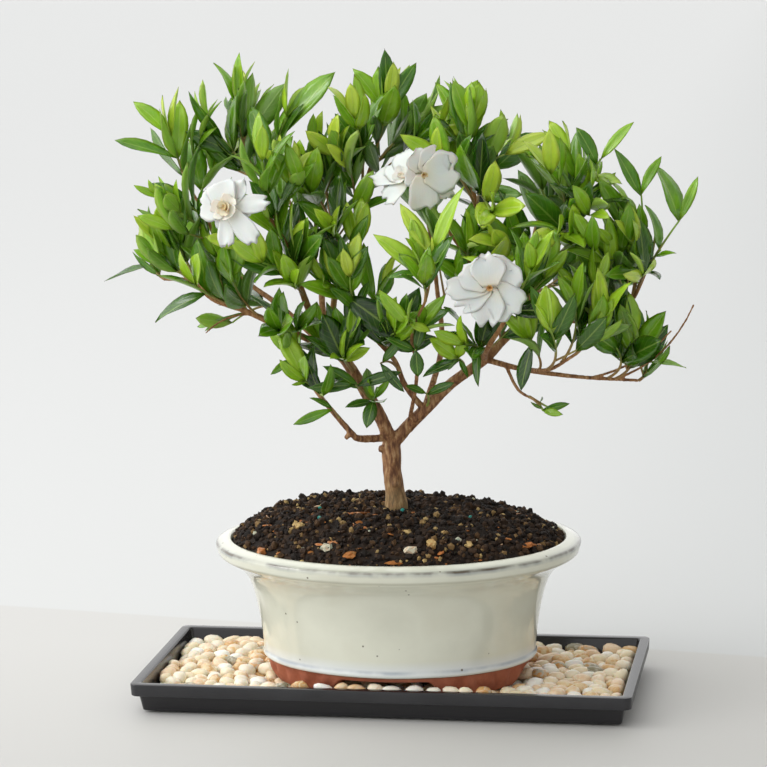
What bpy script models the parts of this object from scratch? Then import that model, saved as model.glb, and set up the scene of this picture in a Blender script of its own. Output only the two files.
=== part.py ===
"""A gardenia grown as a small tree, in an oval glazed pot on a tray of pebbles.

World axes: X runs along the tray, Y to its back, Z up. The origin is on the table under the middle
of the tray. Lengths are metres; the plant's own points are given in millimetres.
"""

import bpy
import bmesh
from math import atan2, cos, pi, radians, sin, sqrt
from random import Random
from mathutils import Matrix, Vector, noise
from mathutils.bvhtree import BVHTree

MM = 0.001
GAP = 0.0003
FULL_TURN = 2.0 * pi
UP = Vector((0.0, 0.0, 1.0))

# Tray: outer size over the rim band, and how its side steps in below the band
TRAY_LENGTH = 0.2820
TRAY_WIDTH = 0.1325
TRAY_HEIGHT = 0.0177
TRAY_CORNER = 0.0045
TRAY_RIM = 0.0052
TRAY_BAND = 0.0070
TRAY_STEP = 0.0040
TRAY_SIDE_INSET = 0.0060
TRAY_PAD_INSET = 0.0098
TRAY_PAD = 0.0014
TRAY_FLOOR = 0.0034
TRAY_WALL_INSET = 0.0076
CORNER_POINTS = 4

# Pebbles: the bed they are sunk in, their size, and how they are spaced
BED_TOP = 0.0090
PEBBLE_HALF = 0.0088
PEBBLE_SPACING = 0.0176
PEBBLE_SIDES = 5
PEBBLE_SHIFT = 0.0010
PEBBLE_CROWN = 0.0142
PEBBLE_TOP_PART = 0.50
PEBBLE_DEPTH = 0.0056
PEBBLE_SEED = 11
PEBBLE_ROW_PART = 0.88
POT_FOOTPRINT = 0.0600
BESIDE_POT = 1.18
UNDER_POT = 0.62

# Pot: an oval whose half length exceeds its half width by POT_STRETCH at every height
POT_X = 0.0026
POT_STRETCH = 0.0185
POT_HALF_WIDTH = 0.0860
POT_RIM = 0.0895
LIP_INNER = 0.0918
LIP_INNER_HALF_WIDTH = 0.0775
FOOT_BOTTOM = 0.0104
FOOT_ARCH = 0.0195
FOOT_SEAT = 0.0505
POT_SEGMENTS = 40
FULL_STRETCH_FROM = 0.050
FOOT_CENTRE = radians(43.0)
FOOT_HALF_SPAN = radians(27.0)
FOOT_BLEND = radians(9.0)
DRAIN_X = 0.0280
DRAIN_RADIUS = 0.0060
DRAIN_SIDES = 12
# Half width and height of each level of the pot: inside from the floor up, then outside from the lip down
POT_INSIDE = ((0.0530, 0.0262), (0.0575, 0.0480), (0.0635, 0.0720), (0.0755, 0.0860))
POT_OUTSIDE = ((0.0848, 0.0834), (0.0785, 0.0795), (0.0708, 0.0735), (0.0660, 0.0640), (0.0618, 0.0450),
               (0.0598, 0.0272), (0.0605, 0.0250), (0.0588, 0.0229))
# Half widths of the foot ring, on the feet and over the arches, outside and then inside
FOOT_OUTER = (0.0540, 0.0575)
FOOT_INNER = (0.0465, 0.0500)
FOOT_RECESS = (0.0440, 0.0198)

# Soil: a mound that fills the pot to just below its inner lip
SOIL_EDGE = 0.0895
SOIL_RISE = 0.0180
SOIL_STEEPNESS = 4.0
SOIL_TILT = 1.9
SOIL_LUMP = 0.0028
SOIL_GAP = 0.0004
SOIL_RINGS = (1.0, 0.95, 0.88, 0.78, 0.65, 0.50, 0.35, 0.21)
TRUNK_HOLE = 0.0073
TRUNK_FOOT = 0.0800
TRUNK_HOLE_SIDES = 12

# Limbs: the limb each springs from and how far along it, start and end radius, then its own points, all
# in millimetres
LIMBS = {
    "trunk": (None, 0.0, 5.9, 5.2, [(2, 0, 80), (2, 0, 110), (0, 0, 130), (0, 0, 148)]),
    "left_main": ("trunk", 0.94, 4.2, 2.6, [(-5, -5, 160), (-15, -10, 180), (-25, -10, 195), (-35, -5, 200)]),
    "left_front": ("left_main", 1.0, 2.4, 1.3, [(-40, -15, 215), (-45, -30, 240), (-50, -35, 260),
                                               (-60, -40, 280)]),
    "left_back": ("left_main", 1.0, 2.2, 1.2, [(-40, 10, 220), (-45, 30, 235), (-55, 45, 255),
                                              (-65, 50, 275)]),
    "left_mid": ("left_main", 1.0, 2.1, 1.2, [(-30, -5, 230), (-30, 5, 255), (-35, 10, 280)]),
    "left_shelf": ("left_main", 1.0, 2.0, 1.2, [(-65, 15, 220), (-85, 30, 230), (-100, 35, 240)]),
    "left_low": ("left_main", 1.0, 2.1, 1.0, [(-60, -20, 215), (-80, -25, 225), (-95, -25, 230),
                                             (-110, -20, 240), (-125, -15, 240)]),
    "left_rise": ("left_low", 0.53, 1.3, 0.9, [(-90, -20, 250), (-100, -15, 275), (-110, -10, 290)]),
    "left_top": ("left_front", 0.75, 1.4, 1.0, [(-65, -20, 280), (-75, -5, 300), (-80, 0, 310)]),
    "low_left": ("trunk", 1.0, 2.3, 1.2, [(-15, -15, 150), (-20, -20, 155), (-35, -25, 175),
                                         (-45, -25, 190)]),
    "right_main": ("trunk", 0.94, 4.0, 2.4, [(10, 0, 155), (20, -5, 165), (35, -5, 180), (55, -10, 195),
                                            (65, -5, 205), (75, 0, 215)]),
    "centre_lean": ("right_main", 0.28, 1.9, 1.1, [(10, -10, 180), (5, -15, 195), (-5, -25, 210),
                                                  (-15, -30, 225)]),
    "centre_back": ("left_mid", 0.37, 1.5, 1.0, [(-25, 20, 255), (-20, 25, 280), (-10, 15, 305)]),
    "right_up": ("right_main", 0.86, 1.9, 1.1, [(60, -5, 230), (55, 5, 255), (50, 5, 280), (45, 0, 300)]),
    "centre_rise": ("right_up", 0.26, 1.4, 1.0, [(50, -20, 250), (35, -30, 275)]),
    "green_shoot": ("right_main", 0.14, 1.3, 0.9, [(20, -30, 190), (20, -45, 215), (30, -60, 235)]),
    "right_front": ("right_main", 0.72, 1.8, 1.1, [(60, -35, 205), (70, -50, 220), (80, -60, 235)]),
    "right_crown": ("right_main", 1.0, 2.1, 1.1, [(80, 10, 230), (90, 10, 250), (100, 10, 265),
                                                 (105, 10, 280)]),
    "right_far": ("right_main", 1.0, 2.0, 1.0, [(95, 5, 215), (120, 10, 215), (135, 10, 225), (145, 5, 245)]),
    "right_back": ("right_main", 1.0, 1.9, 1.1, [(75, 35, 220), (80, 50, 235), (75, 60, 255)]),
    "right_low": ("right_main", 0.72, 2.0, 0.9, [(80, -20, 190), (100, -20, 190), (120, -20, 185),
                                                (130, -10, 185), (140, -10, 185)]),
    "right_fork": ("right_low", 0.30, 1.4, 0.9, [(95, -40, 195), (110, -50, 205)]),
    "mid_back": ("right_main", 0.28, 2.0, 1.1, [(25, 30, 195), (20, 50, 225), (15, 60, 255)]),
    "hanging": ("right_low", 0.15, 1.1, 0.8, [(75, -20, 180), (85, -25, 175)]),
}

# Leafy shoots: the limb each springs from, how far along it, where the twig ends in millimetres, and pairs
# of leaves
SHOOTS = [
    ("far_left_top", "left_rise", 1.0, (-120, -10, 320), 4),
    ("left_rise_side", "left_rise", 0.45, (-110, -35, 280), 3),
    ("left_crest", "left_top", 0.6, (-100, 0, 325), 4),
    ("left_peak", "left_top", 1.0, (-85, 10, 335), 4),
    ("left_spire", "left_top", 0.35, (-55, -5, 330), 3),
    ("left_face", "left_front", 0.8, (-60, -50, 310), 4),
    ("left_inner", "left_mid", 1.0, (-40, 5, 310), 3),
    ("left_inner_front", "left_mid", 0.55, (-40, -40, 295), 3),
    ("left_inner_back", "left_back", 0.6, (-35, 50, 300), 3),
    ("left_back_top", "left_back", 1.0, (-80, 65, 295), 3),
    ("left_back_side", "left_shelf", 1.0, (-120, 50, 255), 3),
    ("left_fan", "left_low", 0.7, (-115, -30, 270), 3),
    ("left_end", "left_low", 1.0, (-135, -10, 250), 4),
    ("left_under", "left_low", 0.55, (-100, -45, 240), 3),
    ("left_under_back", "left_shelf", 0.5, (-95, 20, 210), 3),
    ("left_heart", "left_front", 0.45, (-60, -55, 255), 3),
    ("left_drop", "left_low", 0.2, (-55, -40, 215), 3),
    ("low_left_end", "low_left", 1.0, (-50, -30, 200), 3),
    ("low_left_side", "low_left", 0.7, (-30, -45, 180), 3),
    ("crotch_left", "left_main", 0.62, (-15, -35, 210), 3),
    ("crotch_drop", "left_main", 0.3, (-5, -25, 175), 2),
    ("crown", "centre_back", 1.0, (0, 10, 335), 4),
    ("crown_left", "centre_back", 0.7, (-15, -15, 330), 3),
    ("crown_right", "centre_back", 0.85, (15, 25, 325), 4),
    ("lean_end", "centre_lean", 1.0, (-20, -40, 240), 3),
    ("lean_side", "centre_lean", 0.5, (10, -45, 215), 3),
    ("new_growth", "green_shoot", 1.0, (30, -75, 255), 3),
    ("right_peak", "right_up", 1.0, (50, -5, 325), 4),
    ("right_peak_front", "right_up", 0.72, (35, -35, 310), 3),
    ("right_peak_back", "right_up", 0.6, (60, 35, 305), 3),
    ("crest_right", "right_crown", 0.55, (80, 20, 295), 3),
    ("crest_front", "right_crown", 0.7, (95, -25, 300), 3),
    ("crest_outer", "right_crown", 1.0, (115, 10, 295), 4),
    ("far_right_rise", "right_far", 0.75, (135, 0, 280), 3),
    ("far_right_top", "right_far", 1.0, (150, 5, 270), 4),
    ("far_right_front", "right_far", 0.85, (145, -30, 245), 3),
    ("right_shelf", "right_far", 0.5, (120, -40, 260), 3),
    ("right_low_end", "right_low", 1.0, (145, -5, 195), 3),
    ("right_low_rise", "right_low", 0.85, (140, -25, 210), 3),
    ("right_face", "right_front", 0.7, (90, -80, 255), 4),
    ("right_skirt", "right_fork", 0.5, (100, -85, 225), 3),
    ("right_skirt_outer", "right_fork", 1.0, (125, -60, 225), 4),
    ("hanging_end", "hanging", 1.0, (90, -30, 170), 2),
    ("right_heart", "right_main", 0.65, (50, -50, 210), 3),
    ("back_right", "right_back", 1.0, (90, 75, 280), 3),
    ("back_right_low", "right_back", 0.5, (110, 65, 225), 3),
    ("back_mid", "mid_back", 1.0, (5, 75, 280), 3),
    ("back_mid_low", "mid_back", 0.6, (35, 80, 235), 3),
]
# Shoots whose leaves are smaller than the rest, with the part of the usual length
SMALL_LEAVED = {"hanging_end": 0.50, "crotch_drop": 0.75, "low_left_side": 0.85, "low_left_end": 0.9}

# Flowers: the limb each springs from, how far along it, the middle of its face, which way it faces, a turn
BLOOMS = [
    ("left", "left_front", 1.0, (-75, -75, 285), (-0.25, -0.95, 0.10), 10.0),
    ("centre_back", "centre_rise", 0.85, (10, -40, 305), (-0.45, -0.60, 0.60), 30.0),
    ("centre_front", "centre_rise", 1.0, (25, -60, 300), (0.40, -0.85, -0.15), 5.0),
    ("right", "right_front", 1.0, (70, -95, 245), (0.10, -0.98, -0.05), 20.0),
]

# Leaves: size range in millimetres, blade shape as parts of the length, and how the pairs are set
LEAF_LENGTH = 31.0
LEAF_OUTLINE = ((0.0, 0.011), (0.40, 0.180), (0.75, 0.120), (1.0, 0.0))
LEAF_THICK = 0.90
LEAF_ARCH = 0.13
TWIG_RADIUS = 0.95
TWIG_TIP_RADIUS = 0.65
TWIG_SPANS = 3
TWIG_TRIES = 14
TWIG_FREE_ROOM = 0.35
FINE_STEPS = 60
FIRST_PAIR_AT = 0.34
LOW_LEAF_ANGLE = 62.0
TIP_LEAF_ANGLE = 24.0
RISE_TO_LIGHT = 0.34
LEAF_TRIES = 7
LEAF_SWING = 14.0
LEAF_FREE_ROOM = 0.35
OUTER_LEAF_PART = 0.45
SHOOT_SEED = 5

# Petals, in millimetres
PETAL_OUTLINE = ((0.0, 0.10), (0.38, 0.23), (0.78, 0.31), (1.0, 0.17))
PETAL_THICK = 0.75
# Count, length, lean from the face, cup, curl and rise of each layer
PETAL_LAYERS = ((7, 21.0, 8.0, 0.10, 0.16, -0.6), (5, 11.5, 46.0, 0.24, -0.10, 0.2))
STALK_RADIUS = 1.3
CALYX_LENGTH = 9.0
CALYX_RADIUS = 3.0
CALYX_FLARE = 0.6
STALK_SPANS = 4


def clear_scene():
    for thing in list(bpy.data.objects):
        bpy.data.objects.remove(thing, do_unlink=True)


def new_collection(name):
    group = bpy.data.collections.new(name)
    bpy.context.scene.collection.children.link(group)
    return group


def finish(name, colour, roughness, metallic=0.0):
    """A plain material of one colour, given as red, green and blue parts."""
    made = bpy.data.materials.new(name)
    made.use_nodes = True
    shader = made.node_tree.nodes["Principled BSDF"]
    shader.inputs["Base Color"].default_value = (*colour, 1.0)
    shader.inputs["Roughness"].default_value = roughness
    shader.inputs["Metallic"].default_value = metallic
    made.diffuse_color = (*colour, 1.0)
    return made


def placed(bm, name, group, material):
    """The bmesh as a smooth-shaded object in a collection."""
    mesh = bpy.data.meshes.new(name)
    bm.to_mesh(mesh)
    bm.free()
    mesh.shade_smooth()
    mesh.set_sharp_from_angle(angle=radians(38.0))
    mesh.materials.append(material)
    thing = bpy.data.objects.new(name, mesh)
    group.objects.link(thing)
    return thing


def lofted(rings):
    """A closed skin drawn through rings of points, with a cap on the first ring and on the last."""
    bm = bmesh.new()
    circle = bmesh.ops.create_circle(bm, cap_ends=True, segments=len(rings[0]), radius=1.0)
    cap = circle["verts"][0].link_faces[0]
    for vert, place in zip(cap.verts, rings[0]):
        vert.co = place
    for number, ring in enumerate(rings[1:]):
        grown = bmesh.ops.extrude_face_region(bm, geom=[cap], use_keep_orig=True)
        if number > 0:
            bmesh.ops.delete(bm, geom=[cap], context="FACES_ONLY")
        cap = next(part for part in grown["geom"] if isinstance(part, bmesh.types.BMFace))
        for vert, place in zip(cap.verts, ring):
            vert.co = place
    bmesh.ops.remove_doubles(bm, verts=bm.verts, dist=1e-6)
    bmesh.ops.recalc_face_normals(bm, faces=bm.faces)
    return bm


def keep_main_body(mesh):
    """Leaves only the widest closed skin: hollows that the fusing sealed are filled, loose scraps dropped."""
    bm = bmesh.new()
    bm.from_mesh(mesh)
    bm.faces.ensure_lookup_table()
    waiting = {face.index for face in bm.faces}
    skins = []
    while waiting:
        skin, rim = [], [waiting.pop()]
        while rim:
            face = bm.faces[rim.pop()]
            skin.append(face)
            for edge in face.edges:
                for other in edge.link_faces:
                    if other.index in waiting:
                        waiting.remove(other.index)
                        rim.append(other.index)
        skins.append(skin)
    skins.sort(key=lambda skin: sum(face.calc_area() for face in skin))
    for skin in skins[:-1]:
        bmesh.ops.delete(bm, geom=skin, context="FACES")
    bm.to_mesh(mesh)
    bm.free()


def joined(base, pieces, name, group):
    """One body made of a base object and a collection of pieces, which is removed."""
    union = base.modifiers.new("union", "BOOLEAN")
    union.operation = "UNION"
    union.solver = "MANIFOLD"
    union.operand_type = "COLLECTION"
    union.collection = pieces
    mesh = bpy.data.meshes.new_from_object(base.evaluated_get(bpy.context.evaluated_depsgraph_get()))
    mesh.name = name
    keep_main_body(mesh)
    result = bpy.data.objects.new(name, mesh)
    result.matrix_world = base.matrix_world
    group.objects.link(result)
    for piece in list(pieces.objects) + [base]:
        bpy.data.objects.remove(piece, do_unlink=True)
    bpy.data.collections.remove(pieces)
    result.name = name
    return result


def cut(body, cutter):
    """Takes the cutter out of the body and removes it."""
    taken = body.modifiers.new("cut", "BOOLEAN")
    taken.operation = "DIFFERENCE"
    taken.object = cutter
    mesh = bpy.data.meshes.new_from_object(body.evaluated_get(bpy.context.evaluated_depsgraph_get()))
    body.modifiers.remove(taken)
    body.data = mesh
    bpy.data.objects.remove(cutter, do_unlink=True)


def rounded_rectangle(inset, height):
    """A level ring that follows the tray's outline, drawn in by the inset."""
    radius = max(0.0015, TRAY_CORNER - 0.4 * inset)
    half_x = TRAY_LENGTH / 2 - inset - radius
    half_y = TRAY_WIDTH / 2 - inset - radius
    ring = []
    for side_x, side_y, start in ((1, 1, 0.0), (-1, 1, 0.25), (-1, -1, 0.5), (1, -1, 0.75)):
        for step in range(CORNER_POINTS):
            angle = FULL_TURN * (start + 0.25 * step / (CORNER_POINTS - 1))
            x = side_x * half_x + radius * cos(angle)
            y = side_y * half_y + radius * sin(angle)
            ring.append((x, y, height))
    return ring


def oval(half_width, height, segments=POT_SEGMENTS):
    """A level ring with the pot's outline: longer than it is wide by the pot's stretch."""
    stretch = POT_STRETCH * min(1.0, half_width / FULL_STRETCH_FROM)
    return [(POT_X + (half_width + stretch) * cos(FULL_TURN * step / segments),
             half_width * sin(FULL_TURN * step / segments), height) for step in range(segments)]


def make_tray(group, plastic):
    band_bottom = TRAY_HEIGHT - TRAY_BAND
    rings = [
        rounded_rectangle(TRAY_PAD_INSET + 0.0007, 0.0),
        rounded_rectangle(TRAY_PAD_INSET, TRAY_PAD),
        rounded_rectangle(TRAY_SIDE_INSET, TRAY_PAD),
        rounded_rectangle(TRAY_STEP, band_bottom),
        rounded_rectangle(0.0004, band_bottom + 0.0002),
        rounded_rectangle(0.0, TRAY_HEIGHT),
        rounded_rectangle(TRAY_RIM, TRAY_HEIGHT),
        rounded_rectangle(TRAY_WALL_INSET, TRAY_FLOOR),
    ]
    placed(lofted(rings), "tray", group, plastic)


def wall_inset(height):
    """How far the tray's inner wall lies from its outer edge at a height."""
    part = (height - TRAY_FLOOR) / (TRAY_HEIGHT - TRAY_FLOOR)
    return TRAY_WALL_INSET + (TRAY_RIM - TRAY_WALL_INSET) * part


def pebble_places(draw):
    """Where the pebbles lie, in staggered rows, with how high each may reach."""
    edge = wall_inset(BED_TOP) + PEBBLE_HALF + PEBBLE_SHIFT + GAP
    rows = int((TRAY_WIDTH - 2 * edge) / (PEBBLE_SPACING * PEBBLE_ROW_PART)) + 1
    columns = int((TRAY_LENGTH - 2 * edge) / PEBBLE_SPACING) + 1
    for row in range(rows):
        y = (row / (rows - 1) - 0.5) * (TRAY_WIDTH - 2 * edge)
        for column in range(columns):
            x = ((column + 0.5 * (row % 2)) / (columns - 0.5) - 0.5) * (TRAY_LENGTH - 2 * edge)
            x += draw.uniform(-PEBBLE_SHIFT, PEBBLE_SHIFT)
            outward = sqrt(((x - POT_X) / (POT_FOOTPRINT + POT_STRETCH)) ** 2 + (y / POT_FOOTPRINT) ** 2)
            if outward > BESIDE_POT:
                yield x, y, PEBBLE_CROWN - draw.uniform(0.0, 0.0016)
            elif outward > UNDER_POT:
                yield x, y, FOOT_BOTTOM - GAP - draw.uniform(0.0001, 0.0006)


def foot_seats():
    """The middle of each foot's underside."""
    for side_x in (-1, 1):
        for side_y in (-1, 1):
            yield (POT_X + side_x * (FOOT_SEAT + POT_STRETCH) * cos(FOOT_CENTRE),
                   side_y * FOOT_SEAT * sin(FOOT_CENTRE), FOOT_BOTTOM - GAP)


def make_pebbles(group, stone):
    draw = Random(PEBBLE_SEED)
    bed_bottom = TRAY_FLOOR + GAP
    bed = placed(lofted([rounded_rectangle(wall_inset(bed_bottom) + GAP, bed_bottom),
                         rounded_rectangle(wall_inset(BED_TOP) + GAP, BED_TOP)]), "bed", group, stone)
    heap = new_collection("heap")
    for x, y, crown in list(pebble_places(draw)) + list(foot_seats()):
        bm = bmesh.new()
        bmesh.ops.create_cone(bm, cap_ends=True, segments=PEBBLE_SIDES, radius1=1.0, radius2=PEBBLE_TOP_PART,
                              depth=PEBBLE_DEPTH)
        bmesh.ops.transform(bm, verts=bm.verts, matrix=Matrix.Diagonal((
            PEBBLE_HALF * draw.uniform(0.88, 1.0), PEBBLE_HALF * draw.uniform(0.76, 0.9), 1.0, 1.0)))
        bmesh.ops.rotate(bm, verts=bm.verts, matrix=Matrix.Rotation(draw.uniform(0.0, pi), 3, "Z"))
        bmesh.ops.translate(bm, verts=bm.verts, vec=(x, y, crown - PEBBLE_DEPTH / 2))
        placed(bm, "pebble", heap, stone)
    joined(bed, heap, "pebbles", group)


def foot_depth(angle):
    """1 on a foot, 0 in the arches between the feet, with a short blend."""
    off_foot = abs(atan2(abs(sin(angle)), abs(cos(angle))) - FOOT_CENTRE)
    part = min(1.0, max(0.0, (FOOT_HALF_SPAN - off_foot) / FOOT_BLEND + 0.5))
    return part * part * (3.0 - 2.0 * part)


def foot_ring(half_width_on_foot, half_width_over_arch):
    """A ring that dips to the feet and rises over the arches."""
    ring = []
    for step in range(POT_SEGMENTS):
        angle = FULL_TURN * step / POT_SEGMENTS
        depth = foot_depth(angle)
        half_width = half_width_over_arch + (half_width_on_foot - half_width_over_arch) * depth
        height = FOOT_ARCH + (FOOT_BOTTOM - FOOT_ARCH) * depth
        ring.append((POT_X + (half_width + POT_STRETCH) * cos(angle), half_width * sin(angle), height))
    return ring


def make_pot(group, glaze):
    """One fired piece, drawn from the middle of its inner floor, over the lip and down to its feet."""
    rings = [oval(half_width, height) for half_width, height in POT_INSIDE]
    rings.append(oval(LIP_INNER_HALF_WIDTH, LIP_INNER))
    rings.append(oval(POT_HALF_WIDTH - 0.0008, POT_RIM))
    rings.append(oval(POT_HALF_WIDTH, POT_RIM - 0.0012))
    rings += [oval(half_width, height) for half_width, height in POT_OUTSIDE]
    rings += [foot_ring(*FOOT_OUTER), foot_ring(*FOOT_INNER), oval(*FOOT_RECESS)]
    pot = placed(lofted(rings), "pot", group, glaze)
    for side in (-1, 1):
        bm = bmesh.new()
        bmesh.ops.create_cone(bm, cap_ends=True, segments=DRAIN_SIDES, radius1=DRAIN_RADIUS,
                              radius2=DRAIN_RADIUS, depth=4 * DRAIN_RADIUS,
                              matrix=Matrix.Translation((POT_X + side * DRAIN_X, 0.0, FOOT_RECESS[1])))
        cut(pot, placed(bm, "drain", group, glaze))


def soil_height(x, y, outward):
    """The mound over the pot's oval: nearly flat on top, steep at the edge, with lumps."""
    rise = SOIL_RISE * (1.0 - outward ** SOIL_STEEPNESS) * (1.0 - SOIL_TILT * (x - POT_X))
    lump = noise.noise(Vector((x, y, 0.0)) * 95.0) + 0.6 * noise.noise(Vector((x, y, 0.05)) * 210.0)
    return SOIL_EDGE + rise + SOIL_LUMP * lump * min(1.0, 3.0 * (1.0 - outward))


def soil_ring(edge, part):
    return [(x, y, soil_height(x, y, part)) for x, y, _ in oval(edge * part, 0.0)]


def make_soil(group, earth):
    """The mound fills the pot a hair off its inner wall, and has a plain hole for the trunk's foot."""
    rings = [oval(half_width - SOIL_GAP, height + GAP) for half_width, height in POT_INSIDE]
    edge = (POT_INSIDE[-1][0] + LIP_INNER_HALF_WIDTH) / 2 - SOIL_GAP
    rings += [soil_ring(edge, part) for part in SOIL_RINGS]
    soil = placed(lofted(rings), "soil", group, earth)
    bm = bmesh.new()
    foot_x, foot_y, _ = limb_points("trunk")[0]
    depth = 2 * (LIP_INNER + SOIL_RISE - TRUNK_FOOT)
    middle = Matrix.Translation((foot_x * MM, foot_y * MM, TRUNK_FOOT - GAP + depth / 2))
    bmesh.ops.create_cone(bm, cap_ends=True, segments=TRUNK_HOLE_SIDES, radius1=TRUNK_HOLE,
                          radius2=TRUNK_HOLE, depth=depth, matrix=middle)
    cut(soil, placed(bm, "hole", group, earth))


def stem(name, points, radii, group, bark, sides_setting):
    """A tapered round stem through points in millimetres, as a closed mesh."""
    curve = bpy.data.curves.new(name, "CURVE")
    curve.dimensions = "3D"
    curve.bevel_depth = MM
    curve.bevel_resolution = sides_setting
    curve.use_fill_caps = True
    spline = curve.splines.new("POLY")
    spline.points.add(len(points) - 1)
    for knot, place, radius in zip(spline.points, points, radii):
        knot.co = (*(Vector(place) * MM), 1.0)
        knot.radius = radius
    guide = bpy.data.objects.new(name + "_line", curve)
    group.objects.link(guide)
    mesh = bpy.data.meshes.new_from_object(guide.evaluated_get(bpy.context.evaluated_depsgraph_get()))
    bpy.data.objects.remove(guide, do_unlink=True)
    bm = bmesh.new()
    bm.from_mesh(mesh)
    bmesh.ops.remove_doubles(bm, verts=bm.verts, dist=1e-6)
    return placed(bm, name, group, bark)


def taper(start, end, count):
    return [start + (end - start) * step / (count - 1) for step in range(count)]


def make_trunk(group, bark):
    limbs = new_collection("limbs")
    trunk = None
    for name, (_, _, start, end, _) in LIMBS.items():
        points = limb_points(name)
        thick = start > 3.0
        made = stem(name, points, taper(start, end, len(points)), limbs, bark, 2 if thick else 1)
        if trunk is None:
            trunk = made
            limbs.objects.unlink(trunk)
            group.objects.link(trunk)
    return joined(trunk, limbs, "trunk", group)


def limb_points(name):
    """A limb's points in millimetres, the first of them on the limb that bears it."""
    bearer, part, _, _, points = LIMBS[name]
    start = [point_along(bearer, part)[0]] if bearer else []
    return start + [Vector(place) for place in points]


def point_along(name, part):
    """The place on a limb, in millimetres, and the limb's direction there."""
    points = limb_points(name)
    lengths = [(after - before).length for before, after in zip(points, points[1:])]
    left = part * sum(lengths)
    for before, after, length in zip(points, points[1:], lengths):
        if left <= length + 1e-6:
            return before.lerp(after, min(1.0, left / length)), (after - before).normalized()
        left -= length
    return points[-1], (points[-1] - points[-2]).normalized()


def arc(start, direction, end, bow, count):
    """Points on a curve that leaves along a direction and ends at a place, bowed by a sideways vector."""
    reach = (end - start).length
    middle = start + direction.lerp((end - start).normalized(), 0.45).normalized() * (0.5 * reach) + bow
    ring = []
    for step in range(count + 1):
        t = step / count
        ring.append(start * (1 - t) ** 2 + middle * (2 * t * (1 - t)) + end * t ** 2)
    return ring


class Crowd:
    """The surfaces that later pieces have to stay clear of, in millimetres."""

    def __init__(self):
        self.members = []

    def add(self, owner, corners, faces, outer_faces=None):
        middle = sum(corners, Vector()) / len(corners)
        reach = max((corner - middle).length for corner in corners)
        tree = BVHTree.FromPolygons(corners, faces)
        outer = BVHTree.FromPolygons(corners, outer_faces) if outer_faces else tree
        self.members.append((owner, middle, reach, tree, outer))

    def add_object(self, owner, thing):
        corners = [(thing.matrix_world @ vert.co) / MM for vert in thing.data.vertices]
        self.add(owner, corners, [tuple(face.vertices) for face in thing.data.polygons])

    def near(self, place, reach):
        return [member for member in self.members if (member[1] - place).length < member[2] + reach]

    def clearance(self, place, limit):
        """The distance from a place to the nearest surface, negative inside it, up to a limit."""
        found = limit
        for _, _, _, tree, _ in self.near(place, limit):
            hit, normal, _, distance = tree.find_nearest(place, limit)
            if hit is not None and distance < abs(found):
                found = distance if (place - hit).dot(normal) >= 0 else -distance
        return found

    def crosses(self, owner, corners, faces, outer_faces):
        """Whether a blade would touch another owner's surface, or the outer part of one of its own."""
        middle = sum(corners, Vector()) / len(corners)
        reach = max((corner - middle).length for corner in corners)
        whole = BVHTree.FromPolygons(corners, faces)
        outer = BVHTree.FromPolygons(corners, outer_faces)
        for other, _, _, tree, other_outer in self.near(middle, reach):
            if other == owner:
                if outer.overlap(other_outer):
                    return True
            elif whole.overlap(tree):
                return True
        return False


def blade_rings(outline, thick, arch, lift, fat=0.0):
    """Rings of a blade along X, its upper face to +Z: two edges and a keel below, at each place along it."""
    rings = []
    for along, half in outline:
        keel = thick * (0.6 if along == 0.0 else 1.0 if half > 0.0 else 0.0)
        drop = -arch * along ** 2 + lift * half + (0.4 * keel if along == 0.0 else 0.0)
        spread = fat if half > 0.0 else 0.0
        half += 1.5 * spread
        edge = drop + spread
        rings.append([(along, half, edge), (along, -half, edge), (along, 0.0, drop - keel - spread)])
    return rings


def leaf_frame(root, direction, face, length):
    """The matrix that puts a unit blade at a root, along a direction, its upper face to the light."""
    along = direction.normalized()
    across = face.cross(along).normalized()
    upper = along.cross(across).normalized()
    turn = Matrix((along, across, upper)).transposed().to_4x4()
    return Matrix.Translation(root) @ turn @ Matrix.Scale(length, 4)


class Blade:
    """The unit blade: its mesh for placing and its corners and faces for testing."""

    def __init__(self, fat=0.0):
        bm = lofted(blade_rings(LEAF_OUTLINE, LEAF_THICK / LEAF_LENGTH, LEAF_ARCH, 0.0, fat))
        bm.verts.ensure_lookup_table()
        self.corners = [vert.co.copy() for vert in bm.verts]
        self.faces = [tuple(vert.index for vert in face.verts) for face in bm.faces]
        self.outer = [face for face in self.faces
                      if sum(self.corners[index].x for index in face) / len(face) > OUTER_LEAF_PART]
        self.bm = bm

    def at(self, frame):
        return [frame @ corner for corner in self.corners]


def leaf_ways(draw, points, pairs, size):
    """Root, direction, upper face and length of each leaf of a shoot, in millimetres, from the tip down."""
    turn = draw.uniform(0.0, pi)
    for pair in range(pairs):
        part = 1.0 - (1.0 - FIRST_PAIR_AT) * pair / max(1, pairs - 1)
        place = min(len(points) - 1.001, part * (len(points) - 1))
        before = int(place)
        root = points[before].lerp(points[before + 1], place - before)
        axis = (points[before + 1] - points[before]).normalized()
        side = axis.cross(UP if abs(axis.z) < 0.9 else Vector((1.0, 0.0, 0.0))).normalized()
        angle = radians(TIP_LEAF_ANGLE + (LOW_LEAF_ANGLE - TIP_LEAF_ANGLE) * min(1.0, 1.5 * (1.0 - part)))
        length = LEAF_LENGTH * size * (0.86 if pair == 0 else 1.0) * draw.uniform(0.88, 1.1)
        for opposite in (0.0, pi):
            offset = axis * draw.uniform(0.1, 0.5) * (1.0 if opposite else -1.0)
            yield root + offset, axis, side, angle, turn + opposite, length * draw.uniform(0.93, 1.07)
        turn += pi / 2 + draw.uniform(-0.3, 0.3)


def leaf_direction(axis, side, angle, turn):
    outward = Matrix.Rotation(turn, 3, axis) @ side
    direction = axis * cos(angle) + outward * sin(angle)
    return (direction + UP * RISE_TO_LIGHT).normalized()


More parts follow.
